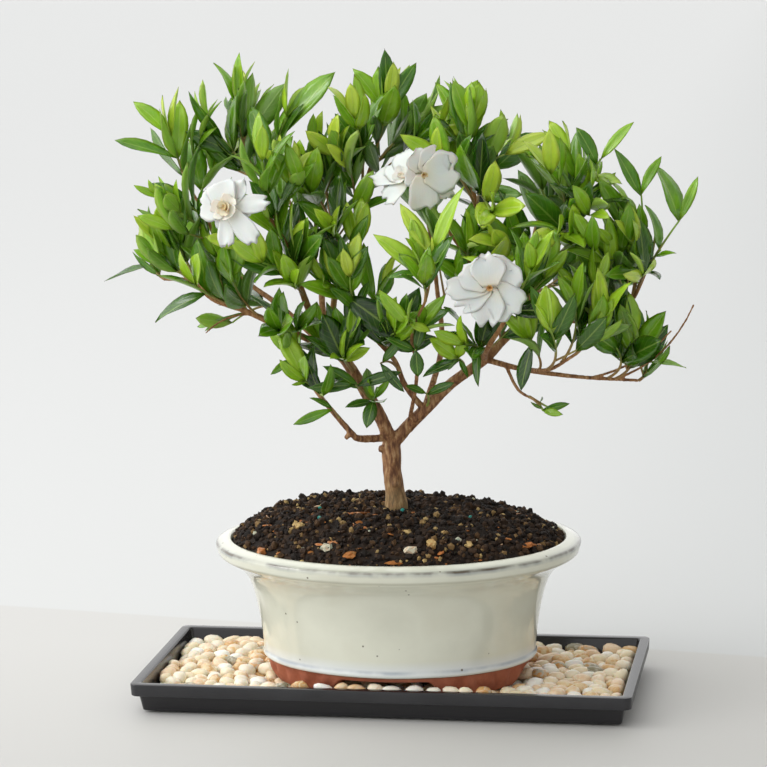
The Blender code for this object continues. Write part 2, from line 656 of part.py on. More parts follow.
def twig_line(crowd, limb, part, tip, draw):
    """A twig's points: bowed until it clears everything, and starting a hair off the limb that bears it."""
    start, direction = point_along(limb, part)
    end = Vector(tip)
    for attempt in range(TWIG_TRIES):
        bow = Vector((draw.uniform(-1, 1), draw.uniform(-1, 1), draw.uniform(-0.4, 1))) * (0.9 * attempt)
        fine = arc(start, direction, end, bow, FINE_STEPS)
        first = first_clear(crowd, fine)
        rest = fine[first + 4:]
        if all(crowd.clearance(place, 4.0) > TWIG_RADIUS + TWIG_FREE_ROOM for place in rest[::2]):
            break
    kept = fine[first:]
    return [kept[round(step * (len(kept) - 1) / TWIG_SPANS)] for step in range(TWIG_SPANS + 1)]


def twig_start_clear(crowd, fine, first):
    """Whether the twig's end face, set at a point of its line, lies just off the limb's surface."""
    axis = (fine[first + 1] - fine[first]).normalized()
    side = axis.cross(UP if abs(axis.z) < 0.9 else Vector((1.0, 0.0, 0.0))).normalized()
    other = axis.cross(side)
    around = [fine[first] + (side * cos(turn) + other * sin(turn)) * TWIG_RADIUS
              for turn in (FULL_TURN * step / 8 for step in range(8))]
    return all(crowd.clearance(place, 6.0) > GAP / MM for place in around + [fine[first]])


def first_clear(crowd, fine):
    """The first point of a fine line where a stem's end face lies just off the limb."""
    first = 0
    while first < FINE_STEPS - 10 and not twig_start_clear(crowd, fine, first):
        first += 1
    return first


def make_shoots(group, crowd, bark, green):
    """Every twig first, then the leaves pair by pair, the outermost of all shoots before the inner ones."""
    blade = Blade()
    fat = Blade(fat=LEAF_FREE_ROOM / LEAF_LENGTH)
    leaf_mesh = bpy.data.meshes.new("leaf")
    blade.bm.to_mesh(leaf_mesh)
    leaf_mesh.materials.append(green)
    shoots = []
    for number, (name, limb, part, tip, pairs) in enumerate(SHOOTS):
        draw = Random(SHOOT_SEED * 1000 + number)
        line = twig_line(crowd, limb, part, tip, draw)
        sprig = new_collection("sprig_" + name)
        twig = stem(name, line, taper(TWIG_RADIUS, TWIG_TIP_RADIUS, len(line)), group, bark, 0)
        crowd.add_object(name, twig)
        ways = list(leaf_ways(draw, line, pairs, SMALL_LEAVED.get(name, 1.0)))
        shoots.append((name, twig, sprig, ways))
    deepest = max(len(ways) for _, _, _, ways in shoots)
    for number in range(deepest):
        for name, _, sprig, ways in shoots:
            if number >= len(ways):
                continue
            root, axis, side, angle, turn, length = ways[number]
            for attempt in range(LEAF_TRIES):
                swing = (attempt + 1) // 2 * radians(LEAF_SWING) * (-1) ** attempt
                direction = leaf_direction(axis, side, angle + 0.3 * abs(swing), turn + swing)
                face = axis - direction * axis.dot(direction)
                frame = leaf_frame(root, direction, face, length)
                if not crowd.crosses(name, fat.at(frame), fat.faces, fat.outer):
                    crowd.add(name, blade.at(frame), blade.faces, blade.outer)
                    leaf = bpy.data.objects.new("leaf", leaf_mesh)
                    leaf.matrix_world = Matrix.Scale(MM, 4) @ frame
                    sprig.objects.link(leaf)
                    break
    for name, twig, sprig, _ in shoots:
        joined(twig, sprig, "shoot_" + name, group)


def petal(length, cup, curl, material, group, frame):
    """A petal blade, cupped across and curled back towards its blunt tip."""
    bm = lofted(blade_rings(PETAL_OUTLINE, PETAL_THICK / length, curl, cup))
    bmesh.ops.transform(bm, verts=bm.verts, matrix=Matrix.Scale(MM, 4) @ frame)
    placed(bm, "petal", group, material)


def make_bloom(group, crowd, name, limb, part, centre, facing, roll, bark, white):
    draw = Random(len(name) * 7 + 3)
    axis = Vector(facing).normalized()
    middle = Vector(centre)
    side = axis.cross(UP).normalized()
    below = middle - axis * CALYX_LENGTH
    start, direction = point_along(limb, part)
    fine = arc(start, direction, below, Vector(), FINE_STEPS)
    kept = fine[first_clear(crowd, fine):]
    line = [kept[round(step * (len(kept) - 1) / STALK_SPANS)] for step in range(STALK_SPANS + 1)]
    line += [below + axis * 0.45 * CALYX_LENGTH, middle]
    radii = [STALK_RADIUS - 0.35] * STALK_SPANS + [STALK_RADIUS, CALYX_RADIUS, CALYX_RADIUS + CALYX_FLARE]
    stalk = stem(name, line, radii, group, bark, 1)
    corolla = new_collection("corolla_" + name)
    for layer, (count, length, lean, cup, curl, rise) in enumerate(PETAL_LAYERS):
        for number in range(count):
            turn = radians(roll) + FULL_TURN * (number + 0.5 * layer) / count + draw.uniform(-0.12, 0.12)
            outward = Matrix.Rotation(turn, 3, axis) @ side
            tilt = radians(lean + draw.uniform(-7.0, 7.0))
            way = outward * cos(tilt) + axis * sin(tilt)
            size = length * draw.uniform(0.9, 1.08)
            petal(size, cup, curl, white, corolla, leaf_frame(middle + axis * rise, way, axis, size))
    bloom = joined(stalk, corolla, "bloom_" + name, group)
    crowd.add_object("bloom_" + name, bloom)


def main():
    clear_scene()
    group = new_collection("potted_gardenia")
    plastic = finish("black_plastic", (0.035, 0.035, 0.038), 0.35)
    stone = finish("pebble_stone", (0.70, 0.60, 0.46), 0.55)
    glaze = finish("cream_glaze", (0.68, 0.69, 0.58), 0.18)
    earth = finish("potting_soil", (0.035, 0.022, 0.016), 0.9)
    bark = finish("bark", (0.26, 0.17, 0.10), 0.7)
    green = finish("leaf_green", (0.09, 0.26, 0.03), 0.35)
    white = finish("petal_white", (0.86, 0.85, 0.80), 0.5)
    make_tray(group, plastic)
    make_pebbles(group, stone)
    make_pot(group, glaze)
    make_soil(group, earth)
    trunk = make_trunk(group, bark)
    crowd = Crowd()
    crowd.add_object("trunk", trunk)
    for name, limb, part, centre, facing, roll in BLOOMS:
        make_bloom(group, crowd, name, limb, part, centre, facing, roll, bark, white)
    make_shoots(group, crowd, bark, green)


main()
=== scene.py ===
from math import atan2, cos, exp, pi, radians, sin, sqrt
from random import Random

import bmesh
import bpy
from mathutils import Matrix, Vector, noise


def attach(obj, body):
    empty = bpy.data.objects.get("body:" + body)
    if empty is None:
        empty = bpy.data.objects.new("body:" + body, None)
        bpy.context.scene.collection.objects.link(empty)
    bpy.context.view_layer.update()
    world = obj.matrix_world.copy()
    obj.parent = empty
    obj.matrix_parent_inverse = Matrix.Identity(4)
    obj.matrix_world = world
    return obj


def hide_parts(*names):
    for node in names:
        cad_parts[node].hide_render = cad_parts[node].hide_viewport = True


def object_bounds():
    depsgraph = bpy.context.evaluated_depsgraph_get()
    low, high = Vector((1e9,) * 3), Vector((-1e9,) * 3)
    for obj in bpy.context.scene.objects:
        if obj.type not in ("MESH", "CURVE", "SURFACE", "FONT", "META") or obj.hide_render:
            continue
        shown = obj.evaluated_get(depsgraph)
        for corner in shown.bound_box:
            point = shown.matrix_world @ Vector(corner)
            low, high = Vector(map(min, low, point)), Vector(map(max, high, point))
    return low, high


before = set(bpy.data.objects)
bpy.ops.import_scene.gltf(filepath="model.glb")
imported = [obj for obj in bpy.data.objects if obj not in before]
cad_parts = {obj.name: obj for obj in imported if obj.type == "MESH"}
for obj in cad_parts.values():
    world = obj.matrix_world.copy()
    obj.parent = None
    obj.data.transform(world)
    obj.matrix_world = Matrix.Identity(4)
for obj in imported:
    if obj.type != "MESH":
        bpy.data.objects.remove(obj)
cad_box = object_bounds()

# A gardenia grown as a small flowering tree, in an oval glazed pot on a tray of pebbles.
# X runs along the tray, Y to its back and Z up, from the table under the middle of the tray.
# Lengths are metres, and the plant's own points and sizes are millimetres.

MM = 0.001
FULL_TURN = 2.0 * pi
UP = Vector((0.0, 0.0, 1.0))
LOT = 60

# The viewpoint: a long lens about 1.65 m away, a little to the right and looking slightly down
CAMERA_AIM = Vector((-0.004, 0.0, 0.179))
CAMERA_DISTANCE = 1.65
CAMERA_TURN = radians(9.7)
CAMERA_DROP = radians(10.0)
CAMERA_ROLL = radians(1.1)
CAMERA_LENS = 137.0
CAMERA_FORWARD = Vector((-sin(CAMERA_TURN) * cos(CAMERA_DROP), cos(CAMERA_TURN) * cos(CAMERA_DROP),
                         -sin(CAMERA_DROP)))
CAMERA_PLACE = CAMERA_AIM - CAMERA_FORWARD * CAMERA_DISTANCE

# Tray: outer size over the rim band, then how far each level of its side is drawn in
TRAY_LENGTH = 0.2820
TRAY_WIDTH = 0.1325
TRAY_HEIGHT = 0.0177
TRAY_CORNER = 0.0045
TRAY_RIM = 0.0052
TRAY_FLOOR = 0.0034
TRAY_WALL_INSET = 0.0076
TRAY_CORNER_POINTS = 9
TRAY_EDGE = 0.00045
TRAY_LEAST_CORNER = 0.0015
TRAY_HARD_EDGE = radians(28.0)
# The dull outside reaches this far in from the outline, and the rest is polished
TRAY_DULL_SIDE = 0.004
# Inset and height of each level, from the resting pad up the outside, over the rim and down inside
TRAY_LEVELS = ((0.0105, 0.0), (0.0098, 0.0014), (0.0060, 0.0014), (0.0042, 0.0105), (0.0004, 0.0109),
               (0.0, 0.0177), (0.0052, 0.0177), (0.0058, 0.0168), (0.0076, 0.0034))

# Pebbles: how many, half length in metres, how flat they lie, and how they settle
PEBBLES = 820
PEBBLE_HALF = (0.0038, 0.0054)
PEBBLE_FLATNESS = 0.72
PEBBLE_STRETCH = (1.02, 1.45)
PEBBLE_TILT = 0.16
# How deep the lumps of a stone are, and how fine
PEBBLE_LUMPS = (0.20, 1.0)
# Where they are dropped: along X, along Y and above the floor
PEBBLE_DROPPED = ((-0.130, 0.130), (-0.056, 0.056), (0.004, 0.016))
PEBBLE_ROUNDS = 90
PEBBLE_FALL = 0.00035
PEBBLE_OVERLAP = 0.93
PEBBLE_WALL_ROOM = 0.98
PEBBLE_TOP = 0.0148
UNDER_POT_ROOM = 0.0035
# The bed is heaped towards its right end and its front
PEBBLE_HEAP = 0.0016
HEAP_FROM_X = 0.02
HEAP_FROM_Y = -0.040
HEAP_AT_FRONT = 0.8
# Stones this near a wall lie along it, give or take an angle
WALL_REACH = 0.016
WALL_HEADING = 0.15
# A row of narrow stones fills the slot between the pot's front feet and the tray's wall
FRONT_STONES = 12
FRONT_STONES_START = -0.054
FRONT_STONES_SPACING = 0.0104
FRONT_STONES_Y = -0.0579
FRONT_STONES_Z = 0.0156
FRONT_STONE_LENGTH = (0.0044, 0.0066)
FRONT_STONE_WIDTH = 0.0027
FRONT_STONE_DEPTH = (0.0034, 0.0050)
FRONT_STONE_TILT = 0.22

# Pot: an oval whose half length exceeds its half width by POT_STRETCH at every height
POT_X = 0.0026
POT_STRETCH = 0.0185
FULL_STRETCH_FROM = 0.050
POT_SEGMENTS = 192
# Half width and height of each level: inside from the floor up, over the lip, then down the outside
POT_INSIDE = ((0.0530, 0.0262), (0.0575, 0.0480), (0.0635, 0.0720), (0.0755, 0.0860), (0.0768, 0.0898))
POT_LIP = ((0.0775, 0.0916), (0.0783, 0.0919), (0.0800, 0.0914), (0.0830, 0.0905), (0.0849, 0.0898),
           (0.0857, 0.0891), (0.0860, 0.0883), (0.0858, 0.0868), (0.0852, 0.0848), (0.0848, 0.0834))
POT_BODY = ((0.0842, 0.0828), (0.0830, 0.0819), (0.0808, 0.0807), (0.0785, 0.0795), (0.0745, 0.0768),
            (0.0708, 0.0735), (0.0682, 0.0693), (0.0660, 0.0640), (0.0641, 0.0570), (0.0628, 0.0505),
            (0.0618, 0.0450), (0.0609, 0.0380), (0.0602, 0.0320), (0.0599, 0.0285), (0.0599, 0.0270),
            (0.0603, 0.0260), (0.0606, 0.0250), (0.0604, 0.0240), (0.0596, 0.0233), (0.0588, 0.0229))
POT_FOOT_TOP = (0.0588, 0.0229)
FOOT_BOTTOM = 0.0104
FOOT_ARCH = 0.0205
FOOT_OUTER = (0.0540, 0.0575)
FOOT_INNER = (0.0465, 0.0500)
FOOT_RECESS = (0.0440, 0.0198)
FOOT_CENTRE = radians(41.5)
FOOT_HALF_SPAN = radians(25.5)
FOOT_BLEND = radians(9.0)
FOOT_ROWS = 7
FOOT_LOBES = 5
FOOT_GROOVE = 0.0026
# A stone caught under the pot creeps away from these middles, along X and Y
PEBBLE_CREEP = ((POT_X, 0.0004), (0.0, 0.0003))

# Soil: a mound that fills the pot, with crumbs, clods and grit lying on it
SOIL_EDGE = 0.0895
SOIL_RISE = 0.0172
SOIL_STEEPNESS = 4.0
SOIL_TILT = 1.9
SOIL_LUMP = 0.0026
SOIL_ROUGHNESS = 0.0016
SOIL_WIDTH = 0.0764
SOIL_SKIRT = 0.070
SOIL_DEPTH = 0.012
SOIL_RINGS = 46
SOIL_SEGMENTS = 168
# Lumps that stand out: x and y in metres, half size in millimetres, how long and flat they are, and tone
SOIL_LUMPS = (
    (-0.027, -0.062, 3.0, 1.1, 0.9, 0.92), (-0.066, -0.050, 3.0, 1.3, 0.7, 0.85),
    (-0.018, -0.018, 3.4, 2.1, 0.4, 0.84), (-0.013, -0.068, 3.6, 1.6, 0.4, 0.80),
    (0.021, -0.064, 3.0, 1.5, 0.8, 0.90), (0.031, -0.058, 3.0, 1.4, 0.8, 0.75),
    (0.080, -0.034, 3.4, 1.6, 0.5, 0.84), (0.050, -0.052, 2.4, 1.3, 0.8, 0.74),
    (-0.046, -0.040, 2.4, 1.2, 0.8, 0.72),
)
# Feed pellets: where they lie, and their half size
PELLETS = ((-0.040, -0.012), (-0.036, -0.034), (0.008, -0.014), (0.046, -0.010))
PELLET_HALF = 0.0012
# Crumbs and clods: how many, half size in millimetres, and how deep and fine their lumps are
SOIL_CRUMBS = 5200
SOIL_CLODS = 420
CLOD_HALF = (1.3, 2.6)
CRUMB_LEAST = 0.5
CRUMB_MORE = 1.5
SOIL_LUMPINESS = (0.55, 1.5)
# Kinds of crumb by a draw from 0 to 1: tan grit, flat flakes of bark, a few pale ones, and the rest dark
GRIT_FROM = 0.94
GRIT_TONES = (0.60, 0.73)
LARGEST_GRIT = 2.2
FLAKES_FROM = 0.915
FLAKE_TONES = (0.80, 0.88)
FLAKE_SHAPE = [1.8, 0.8, 0.3]
PALE_FROM = 0.908
PALE_TONE = 0.93

# Limbs: the limb each springs from and how far along it, start and end radius, then its own points, all
# in millimetres
LIMBS = {
    "trunk": (None, 0.0, 5.9, 5.2, [(2, 0, 80), (2, 0, 110), (0, 0, 130), (0, 0, 148)]),
    "left_main": ("trunk", 0.94, 4.2, 2.6, [(-5, -5, 160), (-15, -10, 180), (-25, -10, 195), (-35, -5, 200)]),
    "left_front": ("left_main", 1.0, 2.4, 1.3, [(-40, -15, 215), (-45, -30, 240), (-50, -35, 260),
                                               (-60, -40, 280)]),
    "left_back": ("left_main", 1.0, 2.2, 1.2, [(-40, 10, 220), (-45, 30, 235), (-55, 45, 255),
                                              (-65, 50, 275)]),
    "left_mid": ("left_main", 1.0, 2.1, 1.2, [(-30, -5, 230), (-30, 5, 255), (-35, 10, 280)]),
    "left_shelf": ("left_main", 1.0, 2.0, 1.2, [(-65, 15, 220), (-85, 30, 230), (-100, 35, 240)]),
    "left_low": ("left_main", 1.0, 2.1, 1.0, [(-60, -20, 215), (-80, -25, 225), (-95, -25, 230),
                                             (-110, -20, 240), (-125, -15, 240)]),
    "left_rise": ("left_low", 0.53, 1.3, 0.9, [(-90, -20, 250), (-100, -15, 275), (-110, -10, 290)]),
    "left_top": ("left_front", 0.75, 1.4, 1.0, [(-65, -20, 280), (-75, -5, 300), (-80, 0, 310)]),
    "low_left": ("trunk", 1.0, 2.3, 1.2, [(-15, -15, 150), (-20, -20, 155), (-35, -25, 175),
                                         (-45, -25, 190)]),
    "right_main": ("trunk", 0.94, 4.0, 2.4, [(10, 0, 155), (20, -5, 165), (35, -5, 180), (55, -10, 195),
                                            (65, -5, 205), (75, 0, 215)]),
    "centre_lean": ("right_main", 0.28, 1.9, 1.1, [(10, -10, 180), (5, -15, 195), (-5, -25, 210),
                                                  (-15, -30, 225)]),
    "centre_back": ("left_mid", 0.37, 1.5, 1.0, [(-25, 20, 255), (-20, 25, 280), (-10, 15, 305)]),
    "right_up": ("right_main", 0.86, 1.9, 1.1, [(60, -5, 230), (55, 5, 255), (50, 5, 280), (45, 0, 300)]),
    "centre_rise": ("right_up", 0.26, 1.4, 1.0, [(50, -20, 250), (35, -30, 275)]),
    "green_shoot": ("right_main", 0.14, 1.3, 0.9, [(20, -30, 190), (20, -45, 215), (30, -60, 235)]),
    "right_front": ("right_main", 0.72, 1.8, 1.1, [(60, -35, 205), (70, -50, 220), (80, -60, 235)]),
    "right_crown": ("right_main", 1.0, 2.1, 1.1, [(80, 10, 230), (90, 10, 250), (100, 10, 265),
                                                 (105, 10, 280)]),
    "right_far": ("right_main", 1.0, 2.0, 1.0, [(95, 5, 215), (120, 10, 215), (135, 10, 225), (145, 5, 245)]),
    "right_back": ("right_main", 1.0, 1.9, 1.1, [(75, 35, 220), (80, 50, 235), (75, 60, 255)]),
    "right_low": ("right_main", 0.72, 1.8, 0.9, [(80, -20, 191), (110, -18, 187), (141, -10, 184)]),
    "right_fork": ("right_low", 0.30, 1.4, 0.9, [(95, -40, 195), (110, -50, 205)]),
    "mid_back": ("right_main", 0.28, 2.0, 1.1, [(25, 30, 195), (20, 50, 225), (15, 60, 255)]),
    "hanging": ("right_low", 0.15, 1.1, 0.8, [(75, -20, 180), (85, -25, 175)]),
}
# Knots and cut stubs: the limb, how far along it, which way they point, radius and length
STUBS = (
    ("trunk", 0.90, (-0.9, -0.4, 0.1), 2.4, 7.5),
    ("trunk", 0.60, (0.3, -0.9, 0.2), 1.8, 6.6),
    ("low_left", 0.40, (-0.6, -0.2, -0.7), 1.5, 5.0),
    ("left_main", 0.62, (-0.8, -0.4, 0.3), 1.5, 5.2),
    ("right_main", 0.20, (0.2, -0.9, 0.3), 2.1, 5.6),
    ("right_main", 0.34, (-0.4, -0.8, 0.5), 1.7, 5.0),
)
# Bare side twigs: the limb, how far along it, and where they end
BARE_TWIGS = (
    ("right_low", 0.85, (172, -18, 228)),
    ("right_low", 0.70, (160, -22, 214)),
    ("left_low", 0.45, (-96, -44, 214)),
)
LIMB_POINTS = 10
# Steps, start and end radius in millimetres of a bare twig
BARE_TWIG = (8, 0.85, 0.6)
# The trunk flares where it leaves the soil, and every limb swells and thins a little along its length
ROOT_FLARE = 1.3
ROOT_FLARE_AT = 106.0
THICK_SWELL = 0.10
THIN_SWELL = 0.06
BARK_VOXEL = 0.00058
BARK_SMOOTHING = 2
BARK_FURROW = 0.00022

# Leafy shoots. Each is a list of twigs, the main one first: the limb it springs from, how far along it,
# where the twig ends in millimetres, whorls of leaves, then its leaves that stand out: how far along the
# twig, where the tip is, age and breadth
SHOOTS = {
    "far_left_top": [("left_rise", 1.0, (-120, -10, 320), 4, (0.60, (-153, -12, 320), 0.50, 0.6),
                      (1.0, (-140, -12, 344), 0.30, 1.0))],
    "left_rise_side": [("left_rise", 0.45, (-110, -35, 280), 3), ("left_rise", 0.70, (-122, -30, 288), 4),
                       ("left_rise", 0.85, (-92, 6, 306), 4)],
    "left_crest": [("left_top", 0.6, (-100, 0, 325), 4)],
    "left_peak": [("left_top", 1.0, (-85, 10, 335), 4, (0.95, (-95, 8, 364), 0.35, 1.0),
                   (0.95, (-84, 8, 366), 0.30, 0.9))],
    "left_spire": [("left_top", 0.35, (-55, -5, 330), 3, (0.80, (-28, -8, 358), 0.40, 0.8))],
    "left_face": [("left_front", 0.8, (-60, -50, 310), 4)],
    "left_inner": [("left_mid", 1.0, (-40, 5, 310), 3), ("left_mid", 0.85, (-52, -16, 302), 4)],
    "left_inner_front": [("left_mid", 0.55, (-40, -40, 295), 3), ("left_mid", 0.60, (-24, -34, 268), 4),
                         ("left_mid", 0.30, (-30, -34, 242), 3)],
    "left_inner_back": [("left_back", 0.6, (-35, 50, 300), 3), ("left_back", 0.80, (-52, 34, 290), 4)],
    "left_back_top": [("left_back", 1.0, (-80, 65, 295), 3)],
    "left_back_side": [("left_shelf", 1.0, (-120, 50, 255), 3)],
    "left_fan": [("left_low", 0.7, (-115, -30, 270), 3), ("left_low", 0.85, (-124, -26, 262), 3)],
    "left_end": [("left_low", 1.0, (-135, -10, 250), 4, (0.85, (-163, -12, 240), 0.80, 0.6))],
    "left_under": [("left_low", 0.55, (-100, -45, 240), 3, (0.70, (-132, -40, 222), 0.75, 0.9)),
                   ("left_low", 0.40, (-80, -44, 246), 3)],
    "left_under_back": [("left_shelf", 0.5, (-95, 20, 210), 3), ("left_shelf", 0.80, (-100, 20, 262), 3)],
    "left_heart": [("left_front", 0.45, (-60, -55, 255), 3, (0.50, (-84, -50, 262), 0.65, 0.9)),
                   ("left_front", 0.40, (-44, -48, 240), 3), ("left_front", 0.62, (-70, -46, 262), 3),
                   ("left_front", 0.70, (-58, -44, 276), 3), ("left_front", 0.50, (-44, -44, 260), 3)],
    "left_drop": [("left_low", 0.2, (-55, -40, 215), 3, (0.80, (-41, -46, 192), 0.18, 1.35))],
    "low_left_end": [("low_left", 1.0, (-50, -30, 200), 3, (0.80, (-62, -36, 190), 0.60, 0.9))],
    "low_left_side": [("low_left", 0.7, (-30, -45, 180), 3),
                      ("low_left", 0.80, (-42, -36, 186), 2, (0.90, (-49, -40, 185), 0.35, 0.9)),
                      ("low_left", 0.50, (-28, -30, 170), 1, (0.90, (-50, -36, 162), 0.50, 0.8),
                       (1.0, (-40, -34, 178), 0.70, 0.9))],
    "crotch_left": [("left_main", 0.62, (-15, -35, 210), 3),
                    ("left_main", 0.62, (-20, -35, 198), 1, (0.95, (-31, -38, 225), 0.90, 1.35),
                     (1.0, (-10, -42, 231), 0.85, 1.20), (0.90, (-5, -44, 207), 0.15, 0.9),
                     (0.80, (-40, -42, 214), 0.60, 0.8)),
                    ("left_main", 0.34, (-14, -34, 184), 0, (1.0, (-40, -42, 184), 0.75, 0.9),
                     (0.9, (12, -36, 193), 0.88, 0.7), (0.7, (-30, -40, 196), 0.60, 0.8))],
    "crotch_drop": [("left_main", 0.3, (-5, -25, 175), 2, (0.80, (-9, -30, 159), 0.80, 1.2),
                     (0.60, (-20, -32, 172), 0.75, 0.8))],
    "crown": [("centre_back", 1.0, (0, 10, 335), 4, (0.90, (0, 8, 368), 0.75, 0.9),
               (0.80, (14, 8, 362), 0.60, 0.9), (0.85, (-16, 6, 360), 0.30, 1.1))],
    "crown_left": [("centre_back", 0.7, (-15, -15, 330), 3), ("centre_back", 0.50, (-20, -8, 302), 4)],
    "crown_right": [("centre_back", 0.85, (15, 25, 325), 4), ("centre_back", 0.70, (24, 6, 316), 4)],
    "lean_end": [("centre_lean", 1.0, (-20, -40, 240), 3, (0.60, (17, -42, 212), 0.95, 1.1),
                  (0.80, (-28, -44, 268), 0.60, 1.0)),
                 ("centre_lean", 0.90, (-14, -44, 246), 3, (1.0, (-18, -48, 270), 0.75, 1.0),
                  (0.9, (-4, -48, 264), 0.70, 1.0)),
                 ("centre_lean", 0.70, (-2, -10, 236), 2)],
    "lean_side": [("centre_lean", 0.5, (10, -45, 215), 3),
                  ("centre_lean", 0.40, (0, -32, 196), 0, (1.0, (14, -36, 180), 0.88, 0.8),
                   (0.9, (12, -34, 210), 0.70, 0.9))],
    "new_growth": [("green_shoot", 1.0, (30, -75, 255), 3, (0.85, (12, -80, 252), 0.60, 0.9),
                    (0.95, (44, -82, 264), 0.45, 0.9)),
                   ("green_shoot", 0.55, (22, -46, 206), 0, (1.0, (23, -44, 190), 0.80, 1.3),
                    (0.8, (28, -48, 228), 0.75, 0.9), (0.9, (6, -50, 214), 0.70, 0.9)),
                   ("green_shoot", 0.75, (20, -56, 222), 1, (1.0, (33, -54, 218), 0.15, 1.1),
                    (0.8, (2, -60, 240), 0.60, 0.9)),
                   ("green_shoot", 1.0, (37, -76, 262), 0, (0.45, (7, -76, 278), 0.16, 0.80),
                    (0.98, (20, -76, 291), 0.10, 0.95), (1.0, (54, -76, 300), 0.20, 0.85),
                    (1.0, (37, -78, 273), 0.00, 0.5))],
    "right_peak": [("right_up", 1.0, (50, -5, 325), 4, (0.90, (54, -4, 350), 0.20, 1.3),
                    (0.85, (40, -4, 352), 0.30, 1.3)),
                   ("right_up", 0.90, (66, 4, 308), 4)],
    "right_peak_front": [("right_up", 0.72, (35, -35, 310), 3), ("right_up", 0.75, (64, -44, 282), 4),
                         ("centre_rise", 0.45, (52, -44, 262), 3), ("right_up", 0.30, (66, -42, 254), 3)],
    "right_peak_back": [("right_up", 0.6, (60, 35, 305), 3)],
    "crest_right": [("right_crown", 0.55, (80, 20, 295), 3), ("right_crown", 0.80, (92, 6, 292), 4)],
    "crest_front": [("right_crown", 0.7, (95, -25, 300), 3), ("right_crown", 0.35, (72, -44, 262), 4),
                    ("right_crown", 0.60, (100, -44, 268), 4), ("right_crown", 0.30, (106, -30, 262), 3)],
    "crest_outer": [("right_crown", 1.0, (115, 10, 295), 4), ("right_crown", 0.85, (116, -28, 278), 4),
                    ("right_crown", 1.0, (120, 0, 306), 0, (1.0, (138, 0, 328), 0.30, 0.80),
                     (0.85, (108, 0, 325), 0.60, 1.10), (0.55, (132, -4, 295), 0.15, 1.30))],
    "far_right_rise": [("right_far", 0.75, (135, 0, 280), 3),
                       ("right_far", 0.75, (142, 0, 286), 0, (1.0, (151, 0, 310), 0.40, 0.70),
                        (0.98, (128, 0, 313), 0.55, 0.75), (0.60, (143, -6, 281), 0.45, 1.10),
                        (0.45, (120, -6, 298), 0.40, 0.80))],
    "far_right_top": [("right_far", 1.0, (150, 5, 270), 4),
                      ("right_far", 0.95, (163, 0, 272), 0, (1.0, (174, 0, 297), 0.35, 0.60),
                       (0.98, (154, 0, 307), 0.45, 1.45), (0.45, (150, -6, 282), 0.50, 1.25))],
    "far_right_front": [("right_far", 0.85, (145, -30, 245), 3),
                        ("right_far", 0.95, (154, -20, 258), 4, (0.55, (161, -20, 258), 0.40, 0.60))],
    "right_shelf": [("right_far", 0.5, (120, -40, 260), 3), ("right_far", 0.62, (128, -28, 262), 4),
                    ("right_far", 0.30, (112, -44, 236), 3)],
    "right_low_end": [("right_low", 1.0, (145, -5, 195), 3, (0.90, (168, -8, 194), 0.35, 0.8))],
    "right_low_rise": [("right_low", 0.85, (140, -25, 210), 3), ("right_low", 0.80, (126, -40, 214), 3)],
    "right_face": [("right_front", 0.7, (90, -80, 255), 4, (0.70, (58, -88, 268), 0.15, 1.0),
                    (0.85, (96, -84, 274), 0.20, 1.0)),
                   ("right_front", 0.45, (84, -60, 246), 3)],
    "right_skirt": [("right_fork", 0.5, (100, -85, 225), 3, (0.90, (98, -86, 248), 0.15, 1.3)),
                    ("right_fork", 0.30, (86, -52, 212), 2, (0.95, (79, -54, 184), 0.95, 1.0)),
                    ("right_fork", 0.75, (112, -66, 232), 3)],
    "right_skirt_outer": [("right_fork", 1.0, (125, -60, 225), 4, (0.90, (126, -64, 252), 0.10, 1.2))],
    "hanging_end": [("hanging", 1.0, (90, -30, 170), 2, (0.90, (105, -30, 174), 0.70, 1.0),
                     (0.85, (83, -30, 175), 0.75, 1.0)),
                    ("hanging", 0.85, (92, -28, 172), 0, (0.60, (90, -32, 178), 0.70, 0.9))],
    "right_heart": [("right_main", 0.65, (50, -50, 210), 3, (0.70, (56, -50, 188), 0.80, 0.8)),
                    ("right_main", 0.52, (44, -36, 200), 1, (0.9, (22, -38, 191), 0.88, 1.0),
                     (1.0, (38, -40, 194), 0.85, 0.8), (0.95, (50, -42, 190), 0.80, 0.9)),
                    ("right_main", 0.28, (24, -24, 178), 0, (1.0, (14, -32, 184), 0.70, 1.0),
                     (0.9, (40, -30, 186), 0.80, 0.8)),
                    ("right_main", 0.70, (58, -44, 226), 3), ("right_up", 0.12, (48, -30, 240), 2)],
    "back_right": [("right_back", 1.0, (90, 75, 280), 3)],
    "back_right_low": [("right_back", 0.5, (110, 65, 225), 3)],
    "back_mid": [("mid_back", 1.0, (5, 75, 280), 3)],
    "back_mid_low": [("mid_back", 0.6, (35, 80, 235), 3)],
}
SMALL_LEAVED = {"hanging_end": 0.50, "crotch_drop": 0.70, "low_left_side": 0.85, "low_left_end": 0.9}
# Steps, start and end radius in millimetres of a main twig, a side twig and a short sprig
MAIN_TWIG = (16, 0.95, 0.55)
SIDE_TWIG = (10, 0.85, 0.50)
SPRIG_TWIG = (5, 0.7, 0.45)

# Leaves: usual length, and how the whorls lean, counted down from the tip of a twig
LEAF_LENGTH = 34.0
LEAF_THICK = 0.014
LEAF_ALONG = 6
LEAF_ACROSS = 4
LEAF_WIDEST = 0.52
LEAF_STALK = 0.012
LEAF_BREADTH = (0.86, 1.16)
# A leaf that passes the plant's bounds is tried at these parts of its length
LEAF_TRIES = (1.0, 0.88, 0.76, 0.64)
WHORL_SPACING = 11.0
LOWEST_WHORL = 0.10
THREE_LEAVED = 0.35
# Lean from the twig in degrees, part of the usual length, and age of each whorl
WHORLS = ((22.0, 0.80, 0.02), (34.0, 0.98, 0.26), (44.0, 1.04, 0.58), (54.0, 0.98, 0.84),
          (62.0, 0.90, 1.00))
RISE_TO_LIGHT = 0.58
